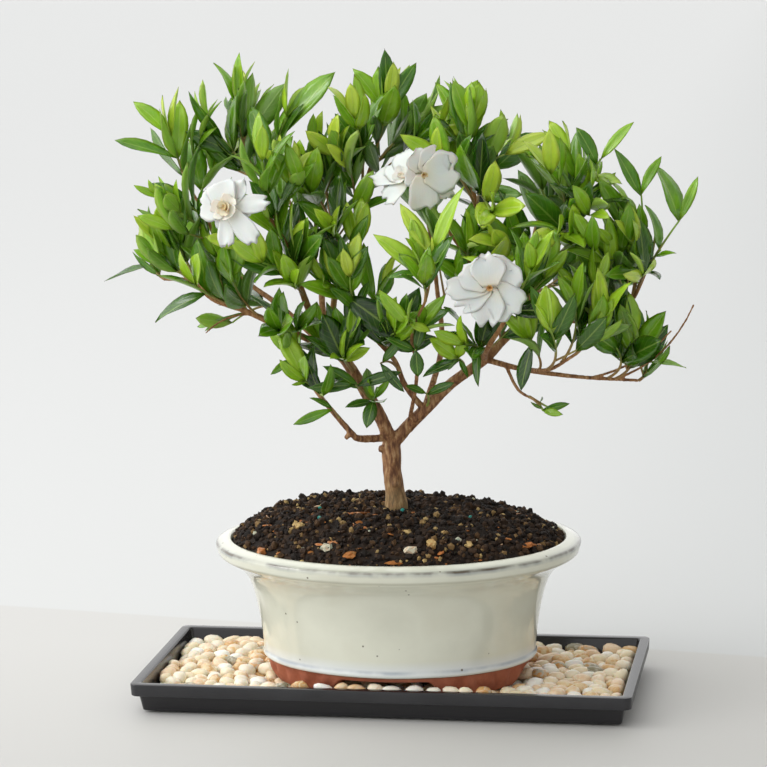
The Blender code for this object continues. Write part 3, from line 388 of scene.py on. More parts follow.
# Leaves in front of this plane face the front, and the ones behind it the back
CROWN_MIDDLE = 18.0
SPRIG_LENGTH = (18.0, 30.0)
SPRIG_WHORLS = 3
# The crown's outline as the camera sees it, on the upright plane through the trunk
CROWN_OUTLINE = (
    (-160, 240), (-148, 262), (-146, 290), (-152, 318), (-136, 344), (-118, 352), (-92, 366), (-76, 366),
    (-56, 362), (-28, 360), (-10, 370), (16, 366), (30, 354), (56, 352), (74, 334), (100, 334), (112, 318),
    (122, 306), (132, 296), (140, 280), (148, 262), (156, 234), (164, 196), (146, 180), (104, 166), (84, 160),
    (66, 172), (30, 172), (-12, 150), (-58, 152), (-64, 184), (-100, 204), (-138, 214), (-152, 232),
)
# Openings where the wall shows through the crown: middle and half size on the same plane
CLEARINGS = ((-8, 256, 7, 16), (83, 295, 5, 6), (98, 280, 4, 5), (-105, 302, 5, 6), (-128, 300, 6, 8),
             (-143, 299, 9, 7), (-96, 331, 5, 6), (20, 196, 7, 9), (-34, 168, 10, 8), (-8, 186, 4, 8))
# Half width, fold along the midrib, arch, edge wave and twist, all as parts of the length
LEAF_FORMS = (
    (0.166, 0.30, 0.12, 0.06, 0.30),
    (0.146, 0.40, 0.20, 0.05, -0.45),
    (0.188, 0.22, 0.08, 0.10, 0.15),
    (0.152, 0.34, 0.26, 0.07, 0.65),
    (0.174, 0.28, 0.15, 0.12, -0.20),
    (0.138, 0.45, 0.05, 0.06, -0.70),
)

# Pairs of side veins along a leaf
SIDE_VEINS = 7.5

# Flowers: the limb each springs from, how far along it, the middle of its face and which way it faces. Then
# its outer petals: turn in degrees from the left by way of below, length, half width, lean, and how pointed
# the end is. Then its inner petals, a row for each layer: count, length, half width, lean, cup and how warm
# their tone is
BLOOMS = {
    "left": ("left_front", 1.0, (-75, -75, 288), (-0.25, -0.95, 0.10),
             ((288, 15, 9.2, 6, 0.0), (357, 17, 8.6, 6, 0.0), (133, 26, 6.0, 3, 0.0), (88, 23, 5.0, 4, 0.0),
              (188, 25, 5.0, 4, 0.0), (237, 19, 5.2, 9, 0.8), (50, 13, 8.0, 6, 0.0), (160, 14, 8.5, 8, 0.0)),
             ((3, 8.0, 5.6, 12.0, 0.25, 0.30), (3, 5.4, 3.8, 28.0, 0.45, 0.52),
              (2, 3.2, 2.2, 50.0, 0.70, 0.70))),
    "centre_back": ("centre_rise", 0.85, (17, -40, 300), (-0.45, -0.66, 0.52),
                    ((2, 27, 6.0, 2, 0.6), (330, 17, 8.0, 10, 0.0), (285, 17, 9.5, 16, 0.0),
                     (60, 18, 7.0, 4, 0.0), (30, 17, 7.5, 4, 0.0), (230, 14, 9.0, 16, 0.0)),
                    ((3, 7.0, 4.6, 34.0, 0.45, 0.10), (2, 4.0, 2.6, 60.0, 0.70, 0.35))),
    "centre_front": ("centre_rise", 1.0, (30, -60, 304), (0.35, -0.88, -0.15),
                     ((185, 20, 12.0, 4, 0.0), (93, 21, 8.8, 4, 0.0), (228, 17, 9.5, 8, 0.0),
                      (139, 23, 5.4, 0, 0.2), (280, 15, 8.0, 10, 0.6), (350, 10, 8.0, 8, 0.0)),
                     ((3, 3.6, 1.9, 58.0, 0.50, 0.75),)),
    "right": ("right_front", 1.0, (70, -95, 248), (0.10, -0.98, -0.05),
              ((275, 19, 9.5, 6, 0.5), (318, 18, 9.5, 7, 0.0), (2, 24, 6.4, 5, 0.0), (30, 21, 7.4, 5, 0.0),
               (82, 22, 9.4, 5, 0.25), (134, 21, 10.5, 5, 0.0), (226, 18, 11.5, 7, 0.0),
               (176, 16, 9.5, 7, 0.0)),
              ((3, 3.4, 1.6, 56.0, 0.50, 0.92),)),
}
PETAL_THICK = 0.3
PETAL_SPANS = 10
# Each outer petal lies this far behind the one before it, and its edge waves no more than this
PETAL_STACK = 0.50
MOST_RUFFLE = 0.5
# No leaf comes nearer to the middle of a flower, as the camera sees it, unless it is this far behind
BLOOM_REACH = 18.5
BLOOM_DEPTH = 9.0
STALK_STEPS = 10
STALK_RADIUS = 0.95
CALYX_LENGTH = 9.0
CALYX_TOP = 3.2
CALYX_RADII = [1.9, 2.6]

# How far leaves may pass the plant's own box, as a part of each side, and that room in millimetres
SIZE_ALLOWANCE = 0.022
PLANT_ROOM = [((low - SIZE_ALLOWANCE * (high - low)) / MM, (high + SIZE_ALLOWANCE * (high - low)) / MM)
              for low, high in zip(*cad_box)]

# The table's back edge: its place over the middle of the tray, and how it slants
TABLE_EDGE_Y = 0.124
TABLE_EDGE_SLOPE = -0.158
# Daylight from the upper left and glow from the wall: way there, part of it that is lit, strength, and blend
DAYLIGHT = (((-0.82, -0.18, 0.55), 0.10, 0.98, 0.52, 1.9, "SMOOTHSTEP"),
            ((0.05, 0.99, 0.10), 0.60, 0.95, 0.0, 0.7, "LINEAR"))
WINDOW_PLACE = Vector((-2.0, -0.6, 1.7))
WINDOW_AIM = Vector((0.0, 0.0, 0.18))
WINDOW_SIZE = 1.0
WINDOW_POWER = 13.0


def linear(colour):
    """An sRGB hex colour as linear red, green, blue and alpha."""
    parts = [int(colour[start:start + 2], 16) / 255 for start in (1, 3, 5)]
    return (*[part / 12.92 if part <= 0.04045 else ((part + 0.055) / 1.055) ** 2.4 for part in parts], 1.0)


def add(tree, kind, sockets=None, stops=(), **settings):
    """Adds a node with its settings, the values or links of its sockets, and the stops of its ramp."""
    made = tree.nodes.new("ShaderNode" + kind)
    for setting, value in settings.items():
        setattr(made, setting, value)
    feed(made, sockets or {})
    for number, (position, colour) in enumerate(stops):
        elements = made.color_ramp.elements
        if number == 0:
            elements.remove(elements[1])
            elements[0].position = position
            elements[0].color = linear(colour)
        else:
            elements.new(position).color = linear(colour)
    return made


def feed(made, sockets):
    """Sets or links a node's sockets. A hex colour is made linear, a node gives its first enabled output."""
    for socket, value in sockets.items():
        if isinstance(value, bpy.types.Node):
            value = next(output for output in value.outputs if output.enabled)
        if isinstance(value, bpy.types.NodeSocket):
            made.id_data.links.new(value, made.inputs[socket])
        else:
            made.inputs[socket].default_value = linear(value) if isinstance(value, str) else value


def surface(name):
    """A new material, its node tree, its shader and its Object coordinates."""
    made = bpy.data.materials.new(name)
    made.use_nodes = True
    tree = made.node_tree
    return made, tree, tree.nodes["Principled BSDF"], add(tree, "TexCoord").outputs["Object"]


def varied(tree, value, pattern, spread):
    """A value made a little higher or lower by a noise pattern."""
    lean = add(tree, "MapRange", {"Value": pattern, "From Min": 0.3, "From Max": 0.7, "To Min": -spread,
                                  "To Max": spread})
    return add(tree, "Math", {0: value, 1: lean}, operation="ADD")


def band(tree, height, middle, half, soft, wobble):
    """1 within a band of heights and 0 outside it, its edges shifted by a wobble."""
    moved = add(tree, "Math", {0: height, 1: wobble}, operation="ADD")
    away = add(tree, "Math", {0: moved, 1: middle}, operation="SUBTRACT")
    off = add(tree, "Math", {0: away}, operation="ABSOLUTE")
    return add(tree, "MapRange", {"Value": off, "From Min": half, "From Max": half + soft, "To Min": 1.0,
                                  "To Max": 0.0})


def moulded_polypropylene():
    """Black moulded plastic: a dull outside that shows as charcoal, with a faint unevenness."""
    made, tree, shader, coords = surface("moulded_polypropylene")
    flow = add(tree, "TexNoise", {"Vector": coords, "Scale": 45.0, "Detail": 3.0})
    grain = add(tree, "TexNoise", {"Vector": coords, "Scale": 900.0, "Detail": 1.0})
    feed(shader, {"Base Color": add(tree, "ValToRGB", {"Fac": flow}, ((0.3, "#232326"), (0.7, "#2e2e31"))),
                  "Roughness": add(tree, "MapRange", {"Value": flow, "To Min": 0.34, "To Max": 0.46}),
                  "Normal": add(tree, "Bump", {"Height": grain, "Strength": 0.12, "Distance": 0.0002})})
    return made


def polished_polypropylene():
    """The rim and inner walls came off a polished mould, so they are glossy and mirror the pebbles."""
    made, tree, shader, coords = surface("polished_polypropylene")
    flow = add(tree, "TexNoise", {"Vector": coords, "Scale": 60.0, "Detail": 2.0})
    feed(shader, {"Base Color": "#1f1e21",
                  "Roughness": add(tree, "MapRange", {"Value": flow, "To Min": 0.10, "To Max": 0.22})})
    return made


def river_pebble():
    """Washed pebbles: cream to tan, each with its own tone and faint streaks, half glossy."""
    made, tree, shader, coords = surface("river_pebble")
    tone = add(tree, "Attribute", attribute_name="tone").outputs["Fac"]
    spread = add(tree, "Math", {0: tone, 1: 3.0}, operation="MULTIPLY")
    shifted = add(tree, "VectorMath", {0: coords, 1: spread}, operation="ADD")
    streaks = add(tree, "TexNoise", {"Vector": shifted, "Scale": 230.0, "Detail": 5.0, "Distortion": 1.2})
    tint = add(tree, "ValToRGB", {"Fac": varied(tree, tone, streaks, 0.07)},
               ((0.0, "#f4f2ea"), (0.22, "#ece4d0"), (0.36, "#ead8b2"), (0.46, "#f1e6cd"), (0.56, "#e3c39c"),
                (0.66, "#ecdcc0"), (0.76, "#d9ad72"), (0.84, "#e6d4ae"), (0.90, "#c98f3f"), (0.95, "#c4bfae"),
                (1.0, "#8d8468")))
    pits = add(tree, "TexNoise", {"Vector": coords, "Scale": 700.0, "Detail": 3.0})
    feed(shader, {"Base Color": tint, "Subsurface Weight": 0.12, "Subsurface Scale": 0.002,
                  "Roughness": add(tree, "MapRange", {"Value": streaks, "To Min": 0.22, "To Max": 0.42}),
                  "Normal": add(tree, "Bump", {"Height": pits, "Strength": 0.18, "Distance": 0.0003})})
    return made


def celadon_glaze():
    """Cream celadon over stoneware: a pooled glossy glass that thins to brown on edges, with iron specks, and
    painted reflection and shade round the lip.
    """
    made, tree, shader, coords = surface("celadon_glaze")
    height = add(tree, "SeparateXYZ", {0: coords}).outputs["Z"]
    cloud = add(tree, "TexNoise", {"Vector": coords, "Scale": 28.0, "Detail": 4.0})
    fine = add(tree, "TexNoise", {"Vector": coords, "Scale": 420.0, "Detail": 3.0})
    drift = add(tree, "TexNoise", {"Vector": coords, "Scale": 55.0, "Detail": 3.0})
    shift = add(tree, "MapRange", {"Value": drift, "To Min": -0.0006, "To Max": 0.0006})
    streaky = add(tree, "MapRange", {"Value": drift, "From Min": 0.35, "From Max": 0.60, "To Min": 0.20,
                                     "To Max": 0.90})
    breaks = add(tree, "MapRange", {"Value": drift, "From Min": 0.40, "From Max": 0.58, "To Min": 0.18})
    glass = add(tree, "ValToRGB", {"Fac": cloud}, ((0.30, "#dedecc"), (0.50, "#e3e4d3"), (0.70, "#dbdccb")))
    # Height, half width and soft edge of each band round the pot, how much of it shows, and its colour
    # The grey band over the lip's outer face is painted reflection and painted shade, and the faint line at
    # the lip's lower edge is painted shade
    for middle, half, soft, share, colour in (
            (0.0266, 0.0016, 0.0050, 1.0, "#e4e8e5"), (0.0266, 0.0002, 0.0014, streaky, "#a9b2ba"),
            (0.0230, 0.0003, 0.0004, 1.0, "#8a6a4c"), (0.0888, 0.0006, 0.0016, streaky, "#999d9b"),
            (0.0893, 0.0003, 0.0006, breaks, "#5c5345"), (0.0832, 0.0002, 0.0010, 0.45, "#a8a48e")):
        shown = add(tree, "Math", {0: band(tree, height, middle, half, soft, shift), 1: share},
                    operation="MULTIPLY")
        glass = add(tree, "Mix", {0: shown, 6: glass, 7: colour}, data_type="RGBA")
    cells = add(tree, "TexVoronoi", {"Vector": coords, "Scale": 150.0})
    dots = add(tree, "MapRange", {"Value": cells, "From Min": 0.07, "From Max": 0.12, "To Min": 1.0,
                                  "To Max": 0.0})
    chosen = add(tree, "SeparateXYZ", {0: cells.outputs["Color"]}).outputs["X"]
    few = add(tree, "Math", {0: chosen, 1: 0.78}, operation="GREATER_THAN")
    specks = add(tree, "Math", {0: dots, 1: few}, operation="MULTIPLY")
    speckled = add(tree, "Mix", {0: specks, 6: glass, 7: "#62594a"}, data_type="RGBA")
    feed(shader, {"Base Color": speckled, "Roughness": 0.10, "IOR": 1.5, "Coat Weight": 0.5,
                  "Coat Roughness": 0.05,
                  "Normal": add(tree, "Bump", {"Height": fine, "Strength": 0.05, "Distance": 0.0003})})
    return made


def bare_terracotta():
    """Fired clay with no glaze: dull red-brown, in soft patches, with a fine grit."""
    made, tree, shader, coords = surface("bare_terracotta")
    cloud = add(tree, "TexNoise", {"Vector": coords, "Scale": 90.0, "Detail": 5.0})
    grit = add(tree, "TexNoise", {"Vector": coords, "Scale": 1300.0, "Detail": 2.0})
    tint = add(tree, "ValToRGB", {"Fac": cloud}, ((0.25, "#8c4c36"), (0.5, "#ab6348"), (0.75, "#c0785b")))
    feed(shader, {"Base Color": tint, "Roughness": 0.72,
                  "Normal": add(tree, "Bump", {"Height": grit, "Strength": 0.35, "Distance": 0.0003})})
    return made


def potting_mix():
    """Damp peat and bark: nearly black crumbs, with tan grit, orange bark flakes and a few feed pellets."""
    made, tree, shader, coords = surface("potting_mix")
    tone = add(tree, "Attribute", attribute_name="tone").outputs["Fac"]
    speck = add(tree, "TexNoise", {"Vector": coords, "Scale": 520.0, "Detail": 5.0})
    tint = add(tree, "ValToRGB", {"Fac": varied(tree, tone, speck, 0.035)},
               ((0.0, "#0f0a06"), (0.22, "#20150d"), (0.42, "#3d2a19"), (0.56, "#5f4529"), (0.65, "#8c7046"),
                (0.73, "#c0a56e"), (0.79, "#98602a"), (0.85, "#b8703a"), (0.92, "#d8d3ba"), (1.0, "#2e8f86")))
    feed(shader, {"Base Color": tint, "Roughness": 0.78, "Specular IOR Level": 0.3,
                  "Normal": add(tree, "Bump", {"Height": speck, "Strength": 0.7, "Distance": 0.0008})})
    return made


def gardenia_bark():
    """Old bark: grey-brown with fine upright furrows, olive near the soil and tan on the younger limbs."""
    made, tree, shader, coords = surface("gardenia_bark")
    height = add(tree, "SeparateXYZ", {0: coords}).outputs["Z"]
    drawn = add(tree, "Mapping", {"Vector": coords, "Scale": (1.0, 1.0, 0.28)})
    furrows = add(tree, "TexNoise", {"Vector": drawn, "Scale": 520.0, "Detail": 6.0, "Roughness": 0.62})
    patches = add(tree, "TexNoise", {"Vector": coords, "Scale": 120.0, "Detail": 3.0})
    tint = add(tree, "ValToRGB", {"Fac": furrows},
               ((0.30, "#45291a"), (0.44, "#7a5033"), (0.57, "#a87c52"), (0.74, "#d2b48a")))
    low = add(tree, "MapRange", {"Value": height, "From Min": 0.100, "From Max": 0.128, "To Min": 1.1,
                                 "To Max": 0.0})
    mossy = add(tree, "Math", {0: low, 1: patches}, operation="MULTIPLY")
    high = add(tree, "MapRange", {"Value": height, "From Min": 0.170, "From Max": 0.250, "To Min": 0.0,
                                  "To Max": 0.65})
    for share, colour in ((mossy, "#9b9563"), (high, "#a5753f")):
        tint = add(tree, "Mix", {0: share, 6: tint, 7: colour}, data_type="RGBA")
    feed(shader, {"Base Color": tint, "Roughness": 0.72,
                  "Normal": add(tree, "Bump", {"Height": furrows, "Strength": 0.65, "Distance": 0.0008})})
    return made


def young_twig():
    """This year's wood: mottled tan where it is older, green at the growing end."""
    made, tree, shader, coords = surface("young_twig")
    age = add(tree, "Attribute", attribute_name="age").outputs["Fac"]
    patches = add(tree, "TexNoise", {"Vector": coords, "Scale": 300.0, "Detail": 3.0})
    tint = add(tree, "ValToRGB", {"Fac": age},
               ((0.0, "#8fb246"), (0.35, "#93a04c"), (0.60, "#a0834c"), (1.0, "#94703f")))
    mottle = add(tree, "Mix", {0: 0.5, 6: tint, 7: patches}, data_type="RGBA", blend_type="OVERLAY")
    feed(shader, {"Base Color": mottle, "Roughness": 0.55,
                  "Normal": add(tree, "Bump", {"Height": patches, "Strength": 0.4, "Distance": 0.0003})})
    return made


def leaf_face(name, tints, rib, roughness, rib_height):
    """One face of an evergreen leaf: colour by age, a midrib, and side veins that the light picks out."""
    made, tree, shader, coords = surface(name)
    blade = add(tree, "SeparateXYZ", {0: add(tree, "UVMap", uv_map="blade")})
    age = add(tree, "Attribute", attribute_name="age").outputs["Fac"]
    centred = add(tree, "Math", {0: blade.outputs["Y"], 1: 0.5}, operation="SUBTRACT")
    across = add(tree, "Math", {0: centred}, operation="ABSOLUTE")
    midrib = add(tree, "MapRange", {"Value": across, "From Min": 0.015, "From Max": 0.055, "To Min": 1.0,
                                    "To Max": 0.0})
    swept = add(tree, "Math", {0: across, 1: -0.62, 2: blade.outputs["X"]}, operation="MULTIPLY_ADD")
    wave = add(tree, "Math", {0: swept, 1: SIDE_VEINS * FULL_TURN}, operation="MULTIPLY")
    veins = add(tree, "Math", {0: wave}, operation="COSINE")
    vein = add(tree, "MapRange", {"Value": veins, "From Min": 0.80, "From Max": 1.0})
    patches = add(tree, "TexNoise", {"Vector": coords, "Scale": 110.0, "Detail": 3.0})
    tint = add(tree, "ValToRGB", {"Fac": varied(tree, age, patches, 0.07)}, tints)
    for line, part in ((vein, 0.09), (midrib, 0.35)):
        share = add(tree, "Math", {0: line, 1: part}, operation="MULTIPLY")
        tint = add(tree, "Mix", {0: share, 6: tint, 7: rib}, data_type="RGBA")
    relief = add(tree, "Math", {0: vein, 1: 0.35, 2: midrib}, operation="MULTIPLY_ADD")
    feed(shader, {"Base Color": tint, "Roughness": roughness, "Subsurface Weight": 0.15,
                  "Subsurface Radius": (0.5, 1.0, 0.15), "Subsurface Scale": 0.002, "Coat Weight": 0.3,
                  "Coat Roughness": 0.12,
                  "Normal": add(tree, "Bump", {"Height": relief, "Strength": 0.6, "Distance": rib_height})})
    return made


def gardenia_petal():
    """Thick soft petals: white, creamy at the heart, with a faint grain along them."""
    made, tree, shader, _ = surface("gardenia_petal")
    blade = add(tree, "UVMap", uv_map="blade")
    along = add(tree, "SeparateXYZ", {0: blade}).outputs["X"]
    age = add(tree, "Attribute", attribute_name="age").outputs["Fac"]
    stretched = add(tree, "Mapping", {"Vector": blade, "Scale": (2.0, 26.0, 1.0)})
    grain = add(tree, "TexNoise", {"Vector": stretched, "Scale": 1.0, "Detail": 2.0})
    out = add(tree, "MapRange", {"Value": along, "From Min": 0.0, "From Max": 0.45, "To Min": 0.50,
                                 "To Max": 0.0})
    warm = add(tree, "Math", {0: out, 1: age}, operation="ADD", use_clamp=True)
    tint = add(tree, "ValToRGB", {"Fac": warm},
               ((0.0, "#e9e9e5"), (0.40, "#f0e9d8"), (0.70, "#ecdab0"), (1.0, "#c79654")))
    feed(shader, {"Base Color": tint, "Roughness": 0.58, "Subsurface Weight": 0.15, "Subsurface Scale": 0.003,
                  "Normal": add(tree, "Bump", {"Height": grain, "Strength": 0.35, "Distance": 0.0004})})
    return made


def board_with_painted_shade():
    """The table and the wall behind it: matt white, the wall a shade cooler, split at the table's edge.
    Painted shade darkens both to the right, away from the window, and the table towards the front.
    """
    made, tree, shader, coords = surface("board_with_painted_shade")
    split = add(tree, "SeparateXYZ", {0: coords})
    x, y = split.outputs["X"], split.outputs["Y"]
    edge = add(tree, "Math", {0: x, 1: TABLE_EDGE_SLOPE, 2: TABLE_EDGE_Y}, operation="MULTIPLY_ADD")
    beyond = add(tree, "Math", {0: y, 1: edge}, operation="SUBTRACT")
    wall = add(tree, "MapRange", {"Value": beyond, "From Min": -0.002, "From Max": 0.002})
    # Painted shade: wall and table grow darker to the right, away from the window, and the table grows darker
    # towards its front edge
    painted_shade_rightward = add(tree, "MapRange", {"Value": x, "From Min": -0.20, "From Max": 0.40},
                    interpolation_type="SMOOTHSTEP")
    painted_shade_forward = add(tree, "MapRange", {"Value": y, "From Min": 0.08, "From Max": -0.16})
    wall_with_painted_shade, table_with_painted_shade, shade = [
        add(tree, "Mix", {0: part, 6: first, 7: last}, data_type="RGBA") for part, first, last
        in ((painted_shade_rightward, "#d5d6d5", "#c2c4c3"), (painted_shade_forward, "#d0cfcc", "#c8c7c4"),
            (painted_shade_rightward, "#ffffff", "#eaeae8"))]
    table_shade = add(tree, "Mix", {0: 1.0, 6: table_with_painted_shade, 7: shade}, data_type="RGBA", blend_type="MULTIPLY")
    tint = add(tree, "Mix", {0: wall, 6: table_shade, 7: wall_with_painted_shade}, data_type="RGBA")
    feed(shader, {"Base Color": tint, "Roughness": 0.6})
    return made


def finished_mesh(bm, name):
    """A finished bmesh turned to a mesh."""
    mesh = bpy.data.meshes.new(name)
    bm.to_mesh(mesh)
    bm.free()
    return mesh


def in_scene(name, data):
    """A new object in the scene."""
    made = bpy.data.objects.new(name, data)
    bpy.context.scene.collection.objects.link(made)
    return made


def evaluated(guide):
    """The mesh that a guide's curve or modifier gives. The guide is removed."""
    mesh = bpy.data.meshes.new_from_object(guide.evaluated_get(bpy.context.evaluated_depsgraph_get()))
    bpy.data.objects.remove(guide, do_unlink=True)
    return mesh


def settle(bm, name, materials, node, sharp=None):
    """Puts a finished bmesh in the scene as a piece that takes the place of a CAD node."""
    mesh = finished_mesh(bm, name)
    for material in materials:
        mesh.materials.append(material)
    mesh.shade_smooth()
    if sharp:
        mesh.set_sharp_from_angle(angle=radians(sharp))
    piece = in_scene(name, mesh)
    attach(piece, "root")
    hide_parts(node)


def lofted(rings):
    """A closed skin drawn through rings of points, with a cap on the first ring and on the last."""
    bm = bmesh.new()
    circle = bmesh.ops.create_circle(bm, cap_ends=True, segments=len(rings[0]), radius=1.0)
    cap = circle["verts"][0].link_faces[0]
    for vert, place in zip(cap.verts, rings[0]):
        vert.co = place
    for number, ring in enumerate(rings[1:]):
        grown = bmesh.ops.extrude_face_region(bm, geom=[cap], use_keep_orig=True)
        if number > 0:
            bmesh.ops.delete(bm, geom=[cap], context="FACES_ONLY")
        cap = next(part for part in grown["geom"] if isinstance(part, bmesh.types.BMFace))
        for vert, place in zip(cap.verts, ring):
            vert.co = place
    bmesh.ops.remove_doubles(bm, verts=bm.verts, dist=1e-6)
    bmesh.ops.recalc_face_normals(bm, faces=bm.faces)
    return bm


def stamp(bm, template, matrix, layer, value, lump=0.0, fineness=1.0, seed=None):
    """Adds a template mesh, moved by a matrix and lumpy if asked, with one value in a layer all over it."""
    start = len(bm.verts)
    bm.from_mesh(template)
    bm.verts.ensure_lookup_table()
    values = bm.verts.layers.float.get(layer)
    for vert in bm.verts[start:]:
        vert[values] = value
        swell = 1.0 + lump * noise.noise(vert.co * fineness + seed) if lump else 1.0
        vert.co = matrix @ (vert.co * swell)


def heaped(bm, items, lump, fineness):
    """Adds many small lumpy stones to a bmesh, in lots: the template, matrix, tone and seed of each."""
    for start in range(0, len(items), LOT):
        lot = bmesh.new()
        for template, matrix, tone, seed in items[start:start + LOT]:
            stamp(lot, template, matrix, "tone", tone, lump, fineness, seed)
        mesh = finished_mesh(lot, "lot")
        bm.from_mesh(mesh)
        bpy.data.meshes.remove(mesh)


def ball(name, cuts, puffed=False):
    """A unit ball to be squeezed into stones or crumbs: an icosphere of a few faces, or a puffed cube."""
    bm = bmesh.new()
    if puffed:
        bmesh.ops.create_cube(bm, size=1.0)
        bmesh.ops.subdivide_edges(bm, edges=bm.edges, cuts=cuts, use_grid_fill=True)
        for vert in bm.verts:
            vert.co.normalize()
    else:
        bmesh.ops.create_icosphere(bm, subdivisions=cuts, radius=1.0)
    bm.verts.layers.float.new("tone")
    return finished_mesh(bm, name)


def seed_place(draw, reach, depth):
    """A random place that sets which lumps a stone gets."""
    return Vector((draw.uniform(0, reach), draw.uniform(0, reach), draw.uniform(0, depth) if depth else 0.0))


def rounded_rectangle(inset, height):
    """A level ring that follows the tray's outline, drawn in by the inset."""
    radius = max(TRAY_LEAST_CORNER, TRAY_CORNER - 0.4 * inset)
    half_x = TRAY_LENGTH / 2 - inset - radius
    half_y = TRAY_WIDTH / 2 - inset - radius
    ring = []
    for side_x, side_y, start in ((1, 1, 0.0), (-1, 1, 0.25), (-1, -1, 0.5), (1, -1, 0.75)):
        for step in range(TRAY_CORNER_POINTS):
            angle = FULL_TURN * (start + 0.25 * step / (TRAY_CORNER_POINTS - 1))
            ring.append((side_x * half_x + radius * cos(angle),
                         side_y * half_y + radius * sin(angle), height))
    return ring


def make_tray():
    """One moulding; every hard edge gets the small radius that the mould gave it."""
    bm = lofted([rounded_rectangle(inset, height) for inset, height in TRAY_LEVELS])
    hard = [edge for edge in bm.edges
            if len(edge.link_faces) == 2 and edge.calc_face_angle() > TRAY_HARD_EDGE]
    bmesh.ops.bevel(bm, geom=hard, affect="EDGES", offset=TRAY_EDGE, segments=3, profile=0.5, material=-1)
    for face in bm.faces:
        x, y, z = face.calc_center_median()
        inside = abs(x) < TRAY_LENGTH / 2 - TRAY_DULL_SIDE and abs(y) < TRAY_WIDTH / 2 - TRAY_DULL_SIDE
        if z > TRAY_HEIGHT - 0.0004 or (inside and z > TRAY_FLOOR - 0.0003):
            face.material_index = 1
    settle(bm, "tray_moulding", [moulded_polypropylene(), polished_polypropylene()], "tray",
           sharp=40.0)


def wall_inset(height):
    """How far the tray's inner wall lies from its outer edge at a height."""
    part = (height - TRAY_FLOOR) / (TRAY_HEIGHT - TRAY_FLOOR)
    return TRAY_WALL_INSET + (TRAY_RIM - TRAY_WALL_INSET) * part


def clamp(value):
    """A value kept between 0 and 1."""
    return min(1.0, max(0.0, value))


def off_foot(angle):
    """How far an angle lies from the middle of the nearest foot, below 0 towards the pot's ends."""
    return atan2(abs(sin(angle)), abs(cos(angle))) - FOOT_CENTRE


def foot_depth(angle):
    """1 on a foot, 0 in the arches between the feet, with a short blend."""
    part = clamp((FOOT_HALF_SPAN - abs(off_foot(angle))) / FOOT_BLEND + 0.5)
    return part * part * (3.0 - 2.0 * part)


def headroom(x, y, radius):
    """How high a pebble may reach: free beside the pot, low under its feet, a little under its floor."""
    middle = FOOT_OUTER[0]
    out_x = (x - POT_X) * middle / (middle + POT_STRETCH)
    outward = sqrt(out_x ** 2 + y ** 2)
    if outward > POT_FOOT_TOP[0] + radius:
        raised = clamp(8.0 * (x - HEAP_FROM_X)) + min(HEAP_AT_FRONT, max(0.0, 40.0 * (HEAP_FROM_Y - y)))
        return PEBBLE_TOP + PEBBLE_HEAP * raised
    if outward > FOOT_INNER[0] - radius and foot_depth(atan2(y, out_x)) > 0.15:
        return FOOT_BOTTOM - 0.0001
    return FOOT_ARCH - UNDER_POT_ROOM


def settle_pebbles(draw):
    """Pebbles dropped in the tray, then pushed apart and down until they rest on each other."""
    floor = TRAY_FLOOR / PEBBLE_FLATNESS
    stones = []
    for _ in range(PEBBLES):
        radius = draw.uniform(*PEBBLE_HALF)
        x, y, drop = [draw.uniform(*span) for span in PEBBLE_DROPPED]
        stones.append([x, y, floor + drop, radius])
    cell = 2.2 * PEBBLE_HALF[1]
    for _ in range(PEBBLE_ROUNDS):
        cells = {}
        for number, stone in enumerate(stones):
            stone[2] -= PEBBLE_FALL
            cells.setdefault((int(stone[0] // cell), int(stone[1] // cell)), []).append(number)
        for (column, row), members in cells.items():
            near = [other for right in (-1, 0, 1) for back in (-1, 0, 1)
                    for other in cells.get((column + right, row + back), ())]
            for one in members:
                a = stones[one]
                for other in near:
                    if other <= one:
                        continue
                    b = stones[other]
                    gap_x, gap_y, gap_z = b[0] - a[0], b[1] - a[1], b[2] - a[2]
                    wanted = PEBBLE_OVERLAP * (a[3] + b[3])
                    apart = sqrt(gap_x ** 2 + gap_y ** 2 + gap_z ** 2) + 1e-9
                    if apart < wanted:
                        push = 0.5 * (wanted - apart) / apart
                        for axis, gap in enumerate((gap_x, gap_y, gap_z)):
                            a[axis] -= push * gap
                            b[axis] += push * gap
        for stone in stones:
            x, y, z, radius = stone
            inset = wall_inset(min(TRAY_HEIGHT, z * PEBBLE_FLATNESS)) + radius * PEBBLE_WALL_ROOM
            stone[0] = min(max(x, inset - TRAY_LENGTH / 2), TRAY_LENGTH / 2 - inset)
            stone[1] = min(max(y, inset - TRAY_WIDTH / 2), TRAY_WIDTH / 2 - inset)
            roof = headroom(stone[0], stone[1], radius * 0.6) / PEBBLE_FLATNESS - radius
            stone[2] = max(min(z, roof), floor + radius)
            if roof < floor + radius + 0.001:
                for axis, (middle, creep) in enumerate(PEBBLE_CREEP):
                    stone[axis] += creep if stone[axis] > middle else -creep
    return stones


